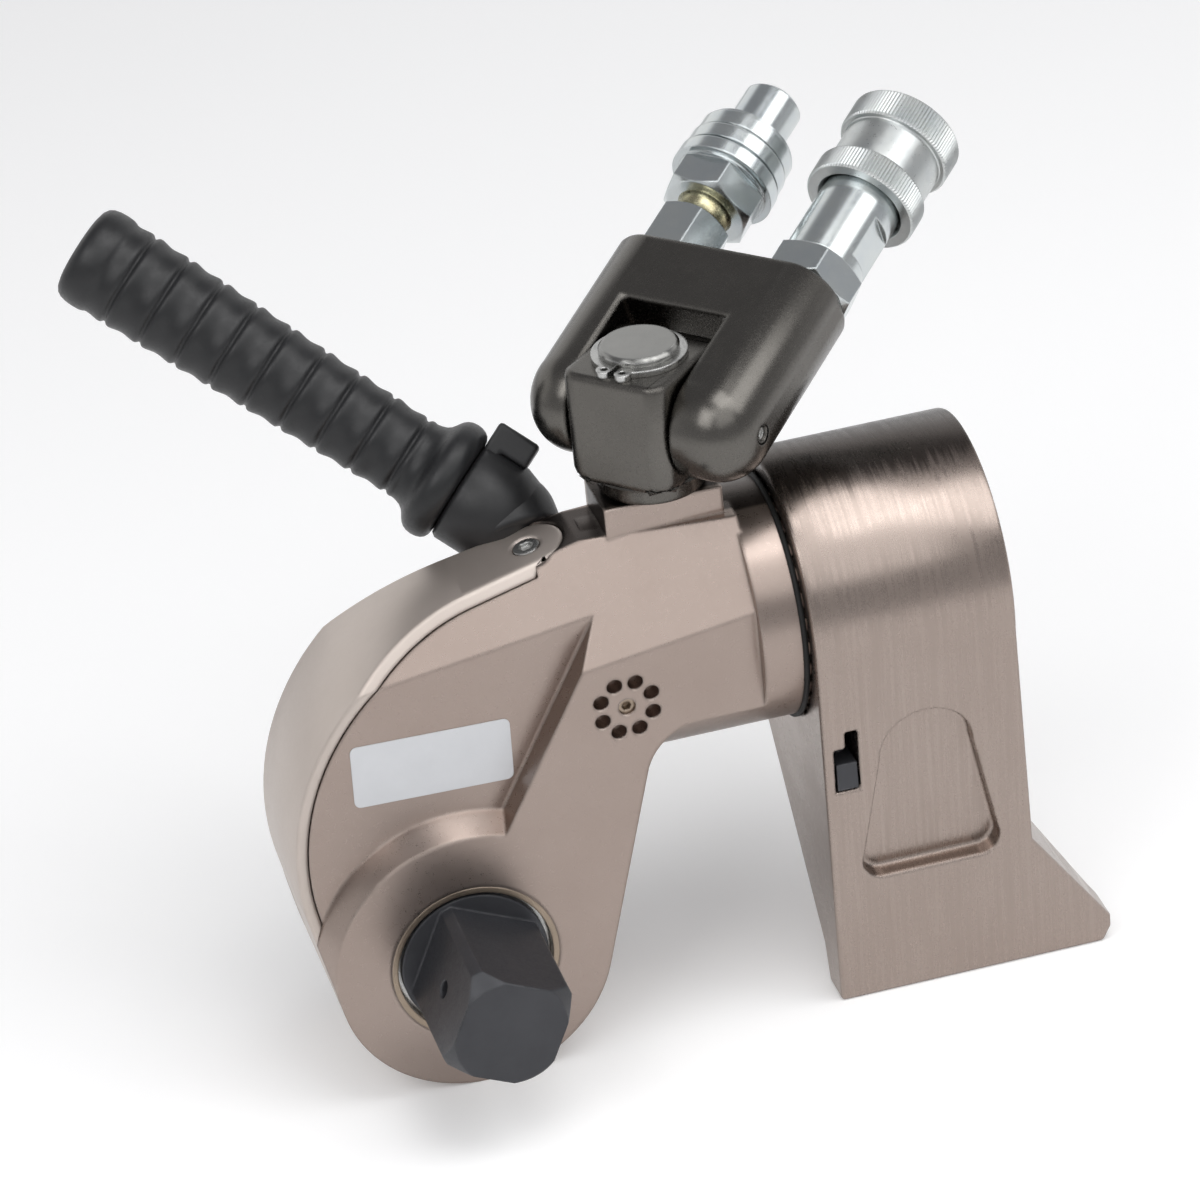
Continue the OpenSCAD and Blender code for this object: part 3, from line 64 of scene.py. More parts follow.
class Graph:
    """Adds nodes to a node tree and links them."""

    def __init__(self, tree: bpy.types.NodeTree) -> None:
        """Keeps the tree that nodes go into.

        Args:
            tree: The material's or group's node tree.
        """
        self.tree = tree

    def socket(self, name: str, way: str, kind: str = "NodeSocketFloat",
               default: Optional[float] = None) -> None:
        """Adds a socket to a group's face.

        Args:
            name: The socket's name.
            way: INPUT or OUTPUT.
            kind: Blender's name of the socket's type.
            default: Its value when nothing feeds it.
        """
        made = self.tree.interface.new_socket(name=name, in_out=way, socket_type=kind)
        if default is not None:
            made.default_value = default

    def node(self, kind: str, **settings: object) -> bpy.types.Node:
        """Adds one node.

        Args:
            kind: The node's type name.
            settings: Properties to set on it.

        Returns:
            The new node.
        """
        made = self.tree.nodes.new(kind)
        for name, value in settings.items():
            setattr(made, name, value)
        return made

    def feed(self, socket: bpy.types.NodeSocket, value: object) -> None:
        """Links a socket, or sets its value.

        Args:
            socket: The input to feed.
            value: Another socket, or a plain value.
        """
        if isinstance(value, bpy.types.NodeSocket):
            self.tree.links.new(value, socket)
        else:
            socket.default_value = value

    def math(self, operation: str, first: object, second: object = 0.0,
             clamp: bool = False) -> bpy.types.NodeSocket:
        """Adds a math node.

        Args:
            operation: Blender's name of the operation.
            first: A socket or a number.
            second: A socket or a number.
            clamp: Whether the result stays between 0 and 1.

        Returns:
            The node's output.
        """
        made = self.node("ShaderNodeMath", operation=operation, use_clamp=clamp)
        self.feed(made.inputs[0], first)
        self.feed(made.inputs[1], second)
        return made.outputs[0]

    def span(self, value: object, low: float, high: float, to_low: float = 0.0, to_high: float = 1.0,
             smooth: bool = False) -> bpy.types.NodeSocket:
        """Maps a value from one span to another, clamped.

        Args:
            value: The socket to map.
            low: Start of the span.
            high: End of the span.
            to_low: Result at the start.
            to_high: Result at the end.
            smooth: Whether the step eases in and out.

        Returns:
            The mapped value.
        """
        made = self.node("ShaderNodeMapRange", interpolation_type="SMOOTHSTEP" if smooth else "LINEAR")
        for name, number in (("From Min", low), ("From Max", high), ("To Min", to_low), ("To Max", to_high)):
            made.inputs[name].default_value = number
        self.feed(made.inputs["Value"], value)
        return made.outputs["Result"]

    def mix(self, factor: object, first: object, second: object) -> bpy.types.NodeSocket:
        """Mixes two colours.

        Args:
            factor: Share of the second colour.
            first: A socket or an RGB colour.
            second: A socket or an RGB colour.

        Returns:
            The mixed colour.
        """
        made = self.node("ShaderNodeMix", data_type="RGBA", blend_type="MIX")
        self.feed(made.inputs["Factor"], factor)
        for name, value in (("A", first), ("B", second)):
            socket = next(s for s in made.inputs if s.name == name and s.type == "RGBA")
            self.feed(socket, value if isinstance(value, bpy.types.NodeSocket) else (*value, 1.0))
        return next(s for s in made.outputs if s.type == "RGBA")

    def noise(self, vector: object, scale: object, detail: float = 2.0,
              rough: float = 0.5) -> bpy.types.NodeSocket:
        """Adds a noise texture.

        Args:
            vector: Coordinates.
            scale: Features per metre, a socket or a number.
            detail: Octaves.
            rough: Strength of the finer octaves.

        Returns:
            The noise value.
        """
        made = self.node("ShaderNodeTexNoise")
        self.feed(made.inputs["Vector"], vector)
        self.feed(made.inputs["Scale"], scale)
        made.inputs["Detail"].default_value = detail
        made.inputs["Roughness"].default_value = rough
        return made.outputs["Fac"]

    def either(self, *masks: bpy.types.NodeSocket) -> bpy.types.NodeSocket:
        """Joins masks.

        Args:
            masks: Sockets with values from 0 to 1.

        Returns:
            The largest of them.
        """
        joined = masks[0]
        for mask in masks[1:]:
            joined = self.math("MAXIMUM", joined, mask)
        return joined

    def place(self) -> bpy.types.NodeSocket:
        """Returns the Object coordinates."""
        return self.node("ShaderNodeTexCoord").outputs["Object"]


@dataclass
class EffectLibrary:
    """Builds each shared effect once, and places it in materials.

    A span named for a noise or an angle is where its mask goes from 0 to 1.
    """

    edge_span: Span = (0.995, 0.80)
    patch_span: Span = (0.40, 0.66)
    mottle_span: Span = (0.30, 0.72)
    streak_span: Span = (0.28, 0.75)
    fine_share: float = 0.65
    coarse_scale: float = 0.22
    edge_samples: int = 4
    groups: dict[Effect, bpy.types.NodeTree] = field(init=False)

    def __post_init__(self) -> None:
        """Builds the groups."""
        self.groups = {effect: self._build(effect) for effect in Effect}

    def _build(self, effect: Effect) -> bpy.types.NodeTree:
        """Builds one node group.

        Args:
            effect: Which effect.

        Returns:
            The group's node tree.
        """
        tree = bpy.data.node_groups.new(effect.value, "ShaderNodeTree")
        if effect is Effect.EDGES:
            self._fill_edges(Graph(tree))
        else:
            self._fill_pattern(Graph(tree), effect)
        return tree

    def _fill_edges(self, graph: Graph) -> None:
        """Fills the group that softens edges in the light and finds where they are worn.

        Args:
            graph: The group's graph.
        """
        graph.socket("Radius", "INPUT", default=0.0006)
        graph.socket("Patches", "INPUT", default=90.0)
        graph.socket("Mask", "OUTPUT")
        graph.socket("Normal", "OUTPUT", "NodeSocketVector")
        inward, outward = graph.node("NodeGroupInput"), graph.node("NodeGroupOutput")
        bevel = graph.node("ShaderNodeBevel", samples=self.edge_samples)
        graph.feed(bevel.inputs["Radius"], inward.outputs["Radius"])
        flat = graph.node("ShaderNodeNewGeometry")
        turn = graph.node("ShaderNodeVectorMath", operation="DOT_PRODUCT")
        graph.feed(turn.inputs[0], bevel.outputs["Normal"])
        graph.feed(turn.inputs[1], flat.outputs["Normal"])
        edge = graph.span(turn.outputs["Value"], *self.edge_span)
        spots = graph.noise(graph.place(), inward.outputs["Patches"], detail=4.0, rough=0.65)
        mask = graph.math("MULTIPLY", edge, graph.span(spots, *self.patch_span), clamp=True)
        graph.feed(outward.inputs["Mask"], mask)
        graph.feed(outward.inputs["Normal"], bevel.outputs["Normal"])

    def _fill_pattern(self, graph: Graph, effect: Effect) -> None:
        """Fills the group of a pattern that is made of noise.

        Args:
            graph: The group's graph.
            effect: Grain, mottle or streaks.
        """
        graph.socket("Vector", "INPUT", "NodeSocketVector")
        graph.socket("Scale", "INPUT", default=1000.0)
        graph.socket("Value", "OUTPUT")
        inward, outward = graph.node("NodeGroupInput"), graph.node("NodeGroupOutput")
        vector, scale = inward.outputs["Vector"], inward.outputs["Scale"]
        if effect is Effect.GRAIN:
            fine = graph.noise(vector, scale, detail=3.0, rough=0.6)
            coarse = graph.noise(vector, graph.math("MULTIPLY", scale, self.coarse_scale))
            fine = graph.math("MULTIPLY", fine, self.fine_share)
            value = graph.math("ADD", fine, graph.math("MULTIPLY", coarse, 1 - self.fine_share))
        elif effect is Effect.MOTTLE:
            value = graph.span(graph.noise(vector, scale, detail=5.0, rough=0.62), *self.mottle_span)
        else:
            value = graph.span(graph.noise(vector, scale, detail=2.0, rough=0.7), *self.streak_span)
        graph.feed(outward.inputs["Value"], value)

    def use(self, graph: Graph, effect: Effect, **values: object) -> bpy.types.Node:
        """Places a group in a material.

        Args:
            graph: The material's graph.
            effect: Which effect.
            values: Inputs by name, with the first letter in lower case.

        Returns:
            The group node.
        """
        made = graph.node("ShaderNodeGroup", node_tree=self.groups[effect])
        for name, value in values.items():
            graph.feed(made.inputs[name.capitalize()], value)
        return made


EFFECTS = EffectLibrary()


def darker(color: Color, share: float) -> Color:
    """Returns a colour with a share of its light taken away."""
    return tuple(c * (1 - share) for c in color)


@dataclass(frozen=True)
class Streaks:
    """Tool marks: how far they are drawn out along each axis, and how deep they show."""

    stretch: Point
    depth: float
    tint: float
    share: float = 0.8
    rough: Span = (-0.05, 0.08)

    def marks(self, graph: Graph, where: bpy.types.NodeSocket) -> bpy.types.NodeSocket:
        """Builds the marks' mask.

        Args:
            graph: The material's graph.
            where: Object coordinates.

        Returns:
            The mask, 1 in the marks.
        """
        drawn = graph.node("ShaderNodeMapping")
        drawn.inputs["Scale"].default_value = self.stretch
        graph.feed(drawn.inputs["Vector"], where)
        return EFFECTS.use(graph, Effect.STREAKS, vector=drawn.outputs["Vector"], scale=1.0).outputs["Value"]


@dataclass(frozen=True)
class PaintedShade:
    """A zone of painted shade, darker colour that stands in for shadow and dark reflections: the way it lies,
    where it starts and ends that way, and how ragged its edge is.

    With a half width it keeps to a band on both sides of the middle plane.
    """

    way: Point
    start: float
    end: float
    ragged: float
    strength: float
    half_width: Optional[float] = None
    band_soft: float = 0.0007

    def mask(self, graph: Graph, where: bpy.types.NodeSocket,
             drift: bpy.types.NodeSocket) -> bpy.types.NodeSocket:
        """Builds the painted shade's mask.

        Args:
            graph: The material's graph.
            where: Object coordinates.
            drift: A noise value that makes the edge ragged.

        Returns:
            The mask, 1 inside the zone.
        """
        along = graph.node("ShaderNodeVectorMath", operation="DOT_PRODUCT")
        graph.feed(along.inputs[0], where)
        along.inputs[1].default_value = self.way
        shift = graph.span(drift, 0.0, 1.0, -self.ragged, self.ragged)
        reach = graph.math("ADD", along.outputs["Value"], shift)
        # Painted shade: the zone where the colour is darkened to stand in for shadow and dark reflections.
        zone = graph.span(reach, self.start, self.end, smooth=True)
        if self.half_width is None:
            return zone
        parts = graph.node("ShaderNodeSeparateXYZ")
        graph.feed(parts.inputs["Vector"], where)
        off = graph.math("ABSOLUTE", graph.math("SUBTRACT", parts.outputs["Y"], MIDDLE_Y))
        inner, outer = self.half_width - self.band_soft, self.half_width + self.band_soft
        return graph.math("MULTIPLY", zone, graph.span(off, inner, outer, 1.0, 0.0, smooth=True))


@dataclass(frozen=True)
class Finish:
    """A metal, plastic or rubber surface with grain, mottle, worn edges, tool marks and an optional zone of
    painted shade.
    """

    name: str
    color: Color
    second: Color
    worn: Color
    roughness: float
    metallic: float
    grain: float
    grain_depth: float
    mottle: float = 40.0
    rough_span: float = 0.10
    edge: float = 0.0006
    wear: float = 0.5
    streaks: Optional[Streaks] = None
    # Zone of painted shade: darker colour standing in for shadow and dark reflections.
    painted_shade: Optional[PaintedShade] = None
    specular: float = 0.5
    wear_patches: float = 140.0
    grain_span: Span = (0.3, 0.7)
    least_rough: float = 0.08

    def material(self) -> bpy.types.Material:
        """Builds the finish's material.

        Returns:
            The material.
        """
        made = bpy.data.materials.new(self.name)
        made.use_nodes = True
        graph = Graph(made.node_tree)
        where = graph.place()
        mottle = EFFECTS.use(graph, Effect.MOTTLE, vector=where, scale=self.mottle).outputs["Value"]
        grain = EFFECTS.use(graph, Effect.GRAIN, vector=where, scale=self.grain).outputs["Value"]
        edges = EFFECTS.use(graph, Effect.EDGES, radius=self.edge, patches=self.wear_patches)
        color = graph.mix(mottle, self.color, self.second)
        height = graph.math("MULTIPLY", grain, self.grain_depth)
        swing = graph.span(grain, *self.grain_span, -self.rough_span, self.rough_span)
        rough = graph.math("ADD", swing, self.roughness)
        drift = mottle
        if self.streaks is not None:
            drift = self.streaks.marks(graph, where)
            height = graph.math("ADD", height, graph.math("MULTIPLY", drift, self.streaks.depth))
            marked = graph.math("MULTIPLY", drift, self.streaks.share)
            color = graph.mix(marked, color, darker(self.color, self.streaks.tint))
            rough = graph.math("ADD", rough, graph.span(drift, 0.0, 1.0, *self.streaks.rough))
        # Painted shade: darkens the colour in the zone to stand in for shadow and dark reflections. The metal
        # itself is not darker there.
        if self.painted_shade is not None:
            zone = self.painted_shade.mask(graph, where, drift)
            color = graph.mix(zone, color, darker(self.color, self.painted_shade.strength))
        worn = graph.math("MULTIPLY", edges.outputs["Mask"], self.wear, clamp=True)
        bump = graph.node("ShaderNodeBump")
        bump.inputs["Strength"].default_value = 1.0
        bump.inputs["Distance"].default_value = 1.0
        graph.feed(bump.inputs["Height"], height)
        graph.feed(bump.inputs["Normal"], edges.outputs["Normal"])
        shader = made.node_tree.nodes["Principled BSDF"]
        graph.feed(shader.inputs["Base Color"], graph.mix(worn, color, self.worn))
        graph.feed(shader.inputs["Roughness"], graph.math("MAXIMUM", rough, self.least_rough))
        graph.feed(shader.inputs["Normal"], bump.outputs["Normal"])
        shader.inputs["Metallic"].default_value = self.metallic
        shader.inputs["Specular IOR Level"].default_value = self.specular
        return made


# The housing's shade zone, above about 90 mm and near the middle plane, is painted shade: darker colour
# standing in for the knuckle's shadow and dark reflections on the roof and collar top.
NICKEL = Finish(
    "satin_nickel", color=(0.320, 0.259, 0.228), second=(0.350, 0.287, 0.255), worn=(0.55, 0.49, 0.44),
    roughness=0.30, metallic=1.0, grain=2600.0, grain_depth=1.2e-6, mottle=26.0, wear=0.4, edge=0.0013,
    rough_span=0.05,
    painted_shade=PaintedShade((0.0, 0.0, 1.0), start=0.0900, end=0.0925, ragged=0.0005, strength=0.80, half_width=0.0076))
STRIP = Finish(
    "brushed_nickel", color=(0.500, 0.440, 0.398), second=(0.545, 0.482, 0.440), worn=(0.70, 0.64, 0.60),
    roughness=0.40, metallic=0.8, grain=2600.0, grain_depth=1.2e-6, mottle=26.0, wear=0.4, edge=0.0009,
    rough_span=0.05)
# The arm's shade zone on the top of its ring is a painted dark reflection: darker colour with a ragged edge,
# standing in for the dark surroundings mirrored there.
NICKEL_TURNED = Finish(
    "turned_nickel", color=(0.325, 0.268, 0.237), second=(0.362, 0.304, 0.272), worn=(0.56, 0.50, 0.45),
    roughness=0.27, metallic=1.0, grain=2600.0, grain_depth=1.2e-6, mottle=20.0, wear=0.4, edge=0.0009,
    rough_span=0.05, streaks=Streaks((900.0, 26.0, 26.0), depth=0.9e-6, tint=0.05),
    painted_shade=PaintedShade((0.0, 0.225, 0.974), start=0.0970, end=0.1017, ragged=0.0020, strength=0.80))
ANODISED = Finish(
    "dark_anodised", color=(0.115, 0.109, 0.100), second=(0.132, 0.125, 0.115), worn=(0.34, 0.33, 0.31),
    roughness=0.26, metallic=1.0, grain=1800.0, grain_depth=1.5e-6, mottle=45.0, wear=0.35, edge=0.0014,
    rough_span=0.05)
ZINC = Finish(
    "zinc_plate", color=(0.54, 0.58, 0.60), second=(0.61, 0.64, 0.63), worn=(0.78, 0.80, 0.81),
    roughness=0.21, metallic=1.0, grain=2200.0, grain_depth=2e-6, mottle=110.0, wear=0.4, rough_span=0.06)
KNURL = Finish(
    "knurled_zinc", color=(0.50, 0.525, 0.53), second=(0.57, 0.585, 0.57), worn=(0.74, 0.75, 0.74),
    roughness=0.34, metallic=1.0, grain=2000.0, grain_depth=3e-6, mottle=150.0, wear=0.3, edge=0.0002)
CHROMATE = Finish(
    "yellow_chromate", color=(0.46, 0.41, 0.24), second=(0.50, 0.47, 0.33), worn=(0.68, 0.68, 0.60),
    roughness=0.25, metallic=1.0, grain=2200.0, grain_depth=2e-6, mottle=150.0, wear=0.3)
OXIDE = Finish(
    "black_oxide", color=(0.036, 0.037, 0.042), second=(0.048, 0.049, 0.055), worn=(0.20, 0.20, 0.21),
    roughness=0.42, metallic=0.35, grain=1600.0, grain_depth=6e-6, mottle=60.0, wear=0.5, edge=0.0009)
STEEL = Finish(
    "machined_steel", color=(0.46, 0.46, 0.45), second=(0.52, 0.52, 0.51), worn=(0.70, 0.70, 0.69),
    roughness=0.28, metallic=1.0, grain=2200.0, grain_depth=2e-6, mottle=80.0,
    streaks=Streaks((500.0, 60.0, 60.0), depth=1.5e-6, tint=0.05))
POLISHED = Finish(
    "polished_pin", color=(0.235, 0.235, 0.225), second=(0.275, 0.272, 0.262), worn=(0.70, 0.70, 0.69),
    roughness=0.17, metallic=1.0, grain=2200.0, grain_depth=1.5e-6, mottle=80.0, wear=0.9, edge=0.0009,
    rough_span=0.04)
BRONZE = Finish(
    "bearing_bronze", color=(0.33, 0.265, 0.205), second=(0.29, 0.235, 0.185), worn=(0.45, 0.38, 0.31),
    roughness=0.34, metallic=1.0, grain=2000.0, grain_depth=4e-6, mottle=90.0)
RUBBER = Finish(
    "grip_rubber", color=(0.0105, 0.0108, 0.0118), second=(0.015, 0.0153, 0.0165), worn=(0.045, 0.045, 0.045),
    roughness=0.40, metallic=0.0, grain=1500.0, grain_depth=1.4e-5, mottle=50.0, edge=0.0005, wear=0.3,
    specular=0.4)
SEAL = Finish(
    "seal_rubber", color=(0.010, 0.010, 0.010), second=(0.016, 0.016, 0.016), worn=(0.03, 0.03, 0.03),
    roughness=0.55, metallic=0.0, grain=2400.0, grain_depth=8e-6, specular=0.25)
PLASTIC = Finish(
    "black_moulding", color=(0.014, 0.014, 0.015), second=(0.019, 0.019, 0.020), worn=(0.06, 0.06, 0.06),
    roughness=0.42, metallic=0.0, grain=1900.0, grain_depth=1e-5, mottle=60.0, edge=0.0009, wear=0.4,
    specular=0.4)
LABEL = Finish(
    "bare_label", color=(0.58, 0.59, 0.61), second=(0.63, 0.64, 0.66), worn=(0.50, 0.50, 0.51),
    roughness=0.36, metallic=0.0, grain=3000.0, grain_depth=2e-6, mottle=60.0, edge=0.0002, wear=0.3)


class Paints:
    """Materials of the finishes, each built when first used."""

    made: dict[str, bpy.types.Material] = {}

    @classmethod
    def of(cls, finish: Finish) -> bpy.types.Material:
        """Returns the finish's material.

        Args:
            finish: The finish.

        Returns:
            Its material.
        """
        if finish.name not in cls.made:
            cls.made[finish.name] = finish.material()
        return cls.made[finish.name]


@dataclass(frozen=True)
class EdgeRounder:
    """Rounds the sharp edges of a CAD node with modifiers; angles in degrees."""

    flat_angle: float = 0.5
    sharp_angle: float = 38.0
    steps: int = 2

    def add(self, node: bpy.types.Object, radius: float) -> None:
        """Joins the node's triangles into faces and rounds its edges.

        Args:
            node: The CAD node's object.
            radius: Radius of the rounded edges, in millimetres.
        """
        weld = node.modifiers.new("weld", "WELD")
        weld.merge_threshold = MERGE_REACH
        flat = node.modifiers.new("flat_faces", "DECIMATE")
        flat.decimate_type = "DISSOLVE"
        flat.angle_limit = math.radians(self.flat_angle)
        bevel = node.modifiers.new("rounded_edges", "BEVEL")
        bevel.width = radius * MM
        bevel.segments = self.steps
        bevel.use_clamp_overlap = False
        bevel.limit_method = "ANGLE"
        bevel.angle_limit = math.radians(self.sharp_angle)


def dress(nodes: Sequence[str], finish: Finish, round_mm: float = 0.0) -> None:
    """Gives CAD nodes a finish, and rounds their edges.

    Args:
        nodes: Names of the CAD nodes.
        finish: The finish they get.
        round_mm: Radius of the rounded edges, or 0 for none.
    """
    for name in nodes:
        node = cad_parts[name]
        node.data.materials.clear()
        node.data.materials.append(Paints.of(finish))
        if round_mm > 0:
            EdgeRounder().add(node, round_mm)
        LOG.info("dressed %s in %s", name, finish.name)


def piece(name: str, shape: bmesh.types.BMesh, finish: Finish, body: str,
          smooth: bool = True) -> bpy.types.Object:
    """Makes an object of a bmesh, and lets it ride on a body.

    Args:
        name: The object's name.
        shape: Its mesh, which is freed.
        finish: Its finish.
        body: The CAD body it rides on.
        smooth: Whether its faces are shaded smooth.

    Returns:
        The object.
    """
    bmesh.ops.remove_doubles(shape, verts=shape.verts, dist=MERGE_REACH)
    bmesh.ops.recalc_face_normals(shape, faces=shape.faces)
    mesh = bpy.data.meshes.new(name)
    shape.to_mesh(mesh)
    shape.free()
    mesh.polygons.foreach_set("use_smooth", [smooth] * len(mesh.polygons))
    made = bpy.data.objects.new(name, mesh)
    bpy.context.scene.collection.objects.link(made)
    mesh.materials.append(Paints.of(finish))
    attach(made, body)
    LOG.info("made %s on %s", name, body)
    return made


def turned(profile: Profile, steps: int) -> bmesh.types.BMesh:
    """Spins a profile round the Z axis.

    Args:
        profile: Radius and height of each point, in millimetres.
        steps: Number of steps round the axis.

    Returns:
        The spun mesh.
    """
    shape = bmesh.new()
    line = [shape.verts.new((radius * MM, 0, height * MM)) for radius, height in profile]
    edges = [shape.edges.new(pair) for pair in zip(line, line[1:])]
    bmesh.ops.spin(shape, geom=line + edges, cent=(0, 0, 0), axis=(0, 0, 1), angle=math.tau, steps=steps,
                   use_merge=True)
    return shape


@dataclass(frozen=True)
class Spot:
    """A local frame: a place in millimetres and turns in degrees, the last one done first."""

    place: Point
    turns: tuple[tuple[str, float], ...]

    def matrix(self, lift: float = 0.0, across: float = 0.0) -> Matrix:
        """Returns the frame's matrix.

        Args:
            lift: Shift along the frame's own Z, in millimetres.
            across: Shift along the frame's own X, in millimetres.

        Returns:
            The matrix, in metres.
        """
        made = Matrix.Translation(Vector(self.place) * MM)
        for axis, angle in self.turns:
            made = made @ Matrix.Rotation(math.radians(angle), 4, axis)
        return made @ Matrix.Translation((across * MM, 0, lift * MM))


MANIFOLD_SPOT = Spot((60.0, 25.0, 122.0), (("Z", -47.0), ("X", -70.0)))
CYLINDER_SPOT = Spot((0.0, 25.0, 67.0), (("Y", 90.0),))
GRIP_SPOT = Spot((28.612, 42.567, 91.187), (("Z", 146.1), ("Y", 57.3)))


@dataclass
class Head:
    """The housing with its shroud, screws, bare label and a dark ring of painted shade before the splines."""

    label_w: float = 38.4
    label_h: float = 16.2
    label_t: float = 0.25
    label_centre: tuple[float, float] = (-3.4, 52.0)
    label_tilt: float = 1.6
    label_corner: float = 1.6
    corner_steps: int = 5
    panel_y: float = 7.0
    # A dark ring of painted shade, standing in for the shadow in the gap before the splines.
    shadow_ring_r: float = 30.1
    shadow_ring_bore: float = 27.8
    shadow_ring_w: float = 1.3
    shadow_ring_soft: float = 0.4
    shadow_ring_x: float = 85.0
    shadow_ring_steps: int = 96
    strip_round: float = 0.8
    body: str = "housing"

    def build(self) -> None:
        """Makes the label and the dark ring of painted shade."""
        self._label()
        self._shadow_gap_ring()

    def _label(self) -> None:
        """Makes the bare label, a thin plate with round corners on the panel."""
        shape = bmesh.new()
        bmesh.ops.create_cube(shape, size=1.0)
        size = (self.label_w * MM, self.label_t * MM, self.label_h * MM)
        bmesh.ops.scale(shape, vec=size, verts=shape.verts)
        half_t = self.label_t / 2
        corners = [e for e in shape.edges if abs(e.verts[0].co.y - e.verts[1].co.y) > half_t * MM]
        bmesh.ops.bevel(shape, geom=corners, offset=self.label_corner * MM, segments=self.corner_steps,
                        profile=0.5, affect="EDGES", material=-1)
        tilt = Matrix.Rotation(math.radians(self.label_tilt), 3, "Y")
        bmesh.ops.rotate(shape, matrix=tilt, verts=shape.verts)
        at = Vector((self.label_centre[0], self.panel_y - half_t, self.label_centre[1])) * MM
        bmesh.ops.translate(shape, vec=at, verts=shape.verts)
        piece("label", shape, LABEL, self.body, smooth=False)

    def _shadow_gap_ring(self) -> None:
        """Makes the dark ring before the splines: painted shade, a dark piece standing in for the shadow in
        the gap between the collar and the arm.
        """
        # Painted shade: a dark ring where there is only the shadow of the gap.
        bore, outer, width, soft = self.shadow_ring_bore, self.shadow_ring_r, self.shadow_ring_w, self.shadow_ring_soft
        ring = turned([(bore, 0.0), (outer - soft, 0.0), (outer, soft), (outer, width - soft),
                       (outer - soft, width), (bore, width), (bore, 0.0)], self.shadow_ring_steps)
        bmesh.ops.transform(ring, matrix=CYLINDER_SPOT.matrix(self.shadow_ring_x), verts=ring.verts)
        piece("shadow_gap_ring", ring, SEAL, self.body)

    def dress(self) -> None:
        """Gives the head's CAD nodes their finishes."""
        dress(["housing"], NICKEL)
        dress(["shroud"], STRIP, round_mm=self.strip_round)
        dress(["vent_screw"], BRONZE)
        dress(["shroud_screws", "rod_gland", "end_cap"], STEEL)
        dress(["front_bush", "rear_bush"], BRONZE)
        dress(["gland_seal", "end_cap_seal"], SEAL)


@dataclass
class Drive:
    """The square drive with the ratchet and crank behind it."""

    def dress(self) -> None:
        """Gives the drive's CAD nodes their finishes."""
        dress(["square_drive", "drive_retainer"], OXIDE)
        dress(["ratchet", "retainer_button", "button_spring", "crank", "crank_pin", "drive_pawl",
               "pawl_spring", "piston", "piston_rod", "rod_eye"], STEEL)
        dress(["piston_seal"], SEAL)


@dataclass
class Swivel:
    """The hose swivel: spindle, knuckle and manifold."""

    knuckle_round: float = 1.4
    manifold_round: float = 0.9

    def dress(self) -> None:
        """Gives the swivel's CAD nodes their finishes."""
        dress(["knuckle"], ANODISED, round_mm=self.knuckle_round)
        dress(["manifold"], ANODISED, round_mm=self.manifold_round)
        dress(["spindle"], POLISHED)
        dress(["spindle_circlip", "trunnions", "manifold_plugs"], STEEL)
        dress(["spindle_seals", "trunnion_seals"], SEAL)


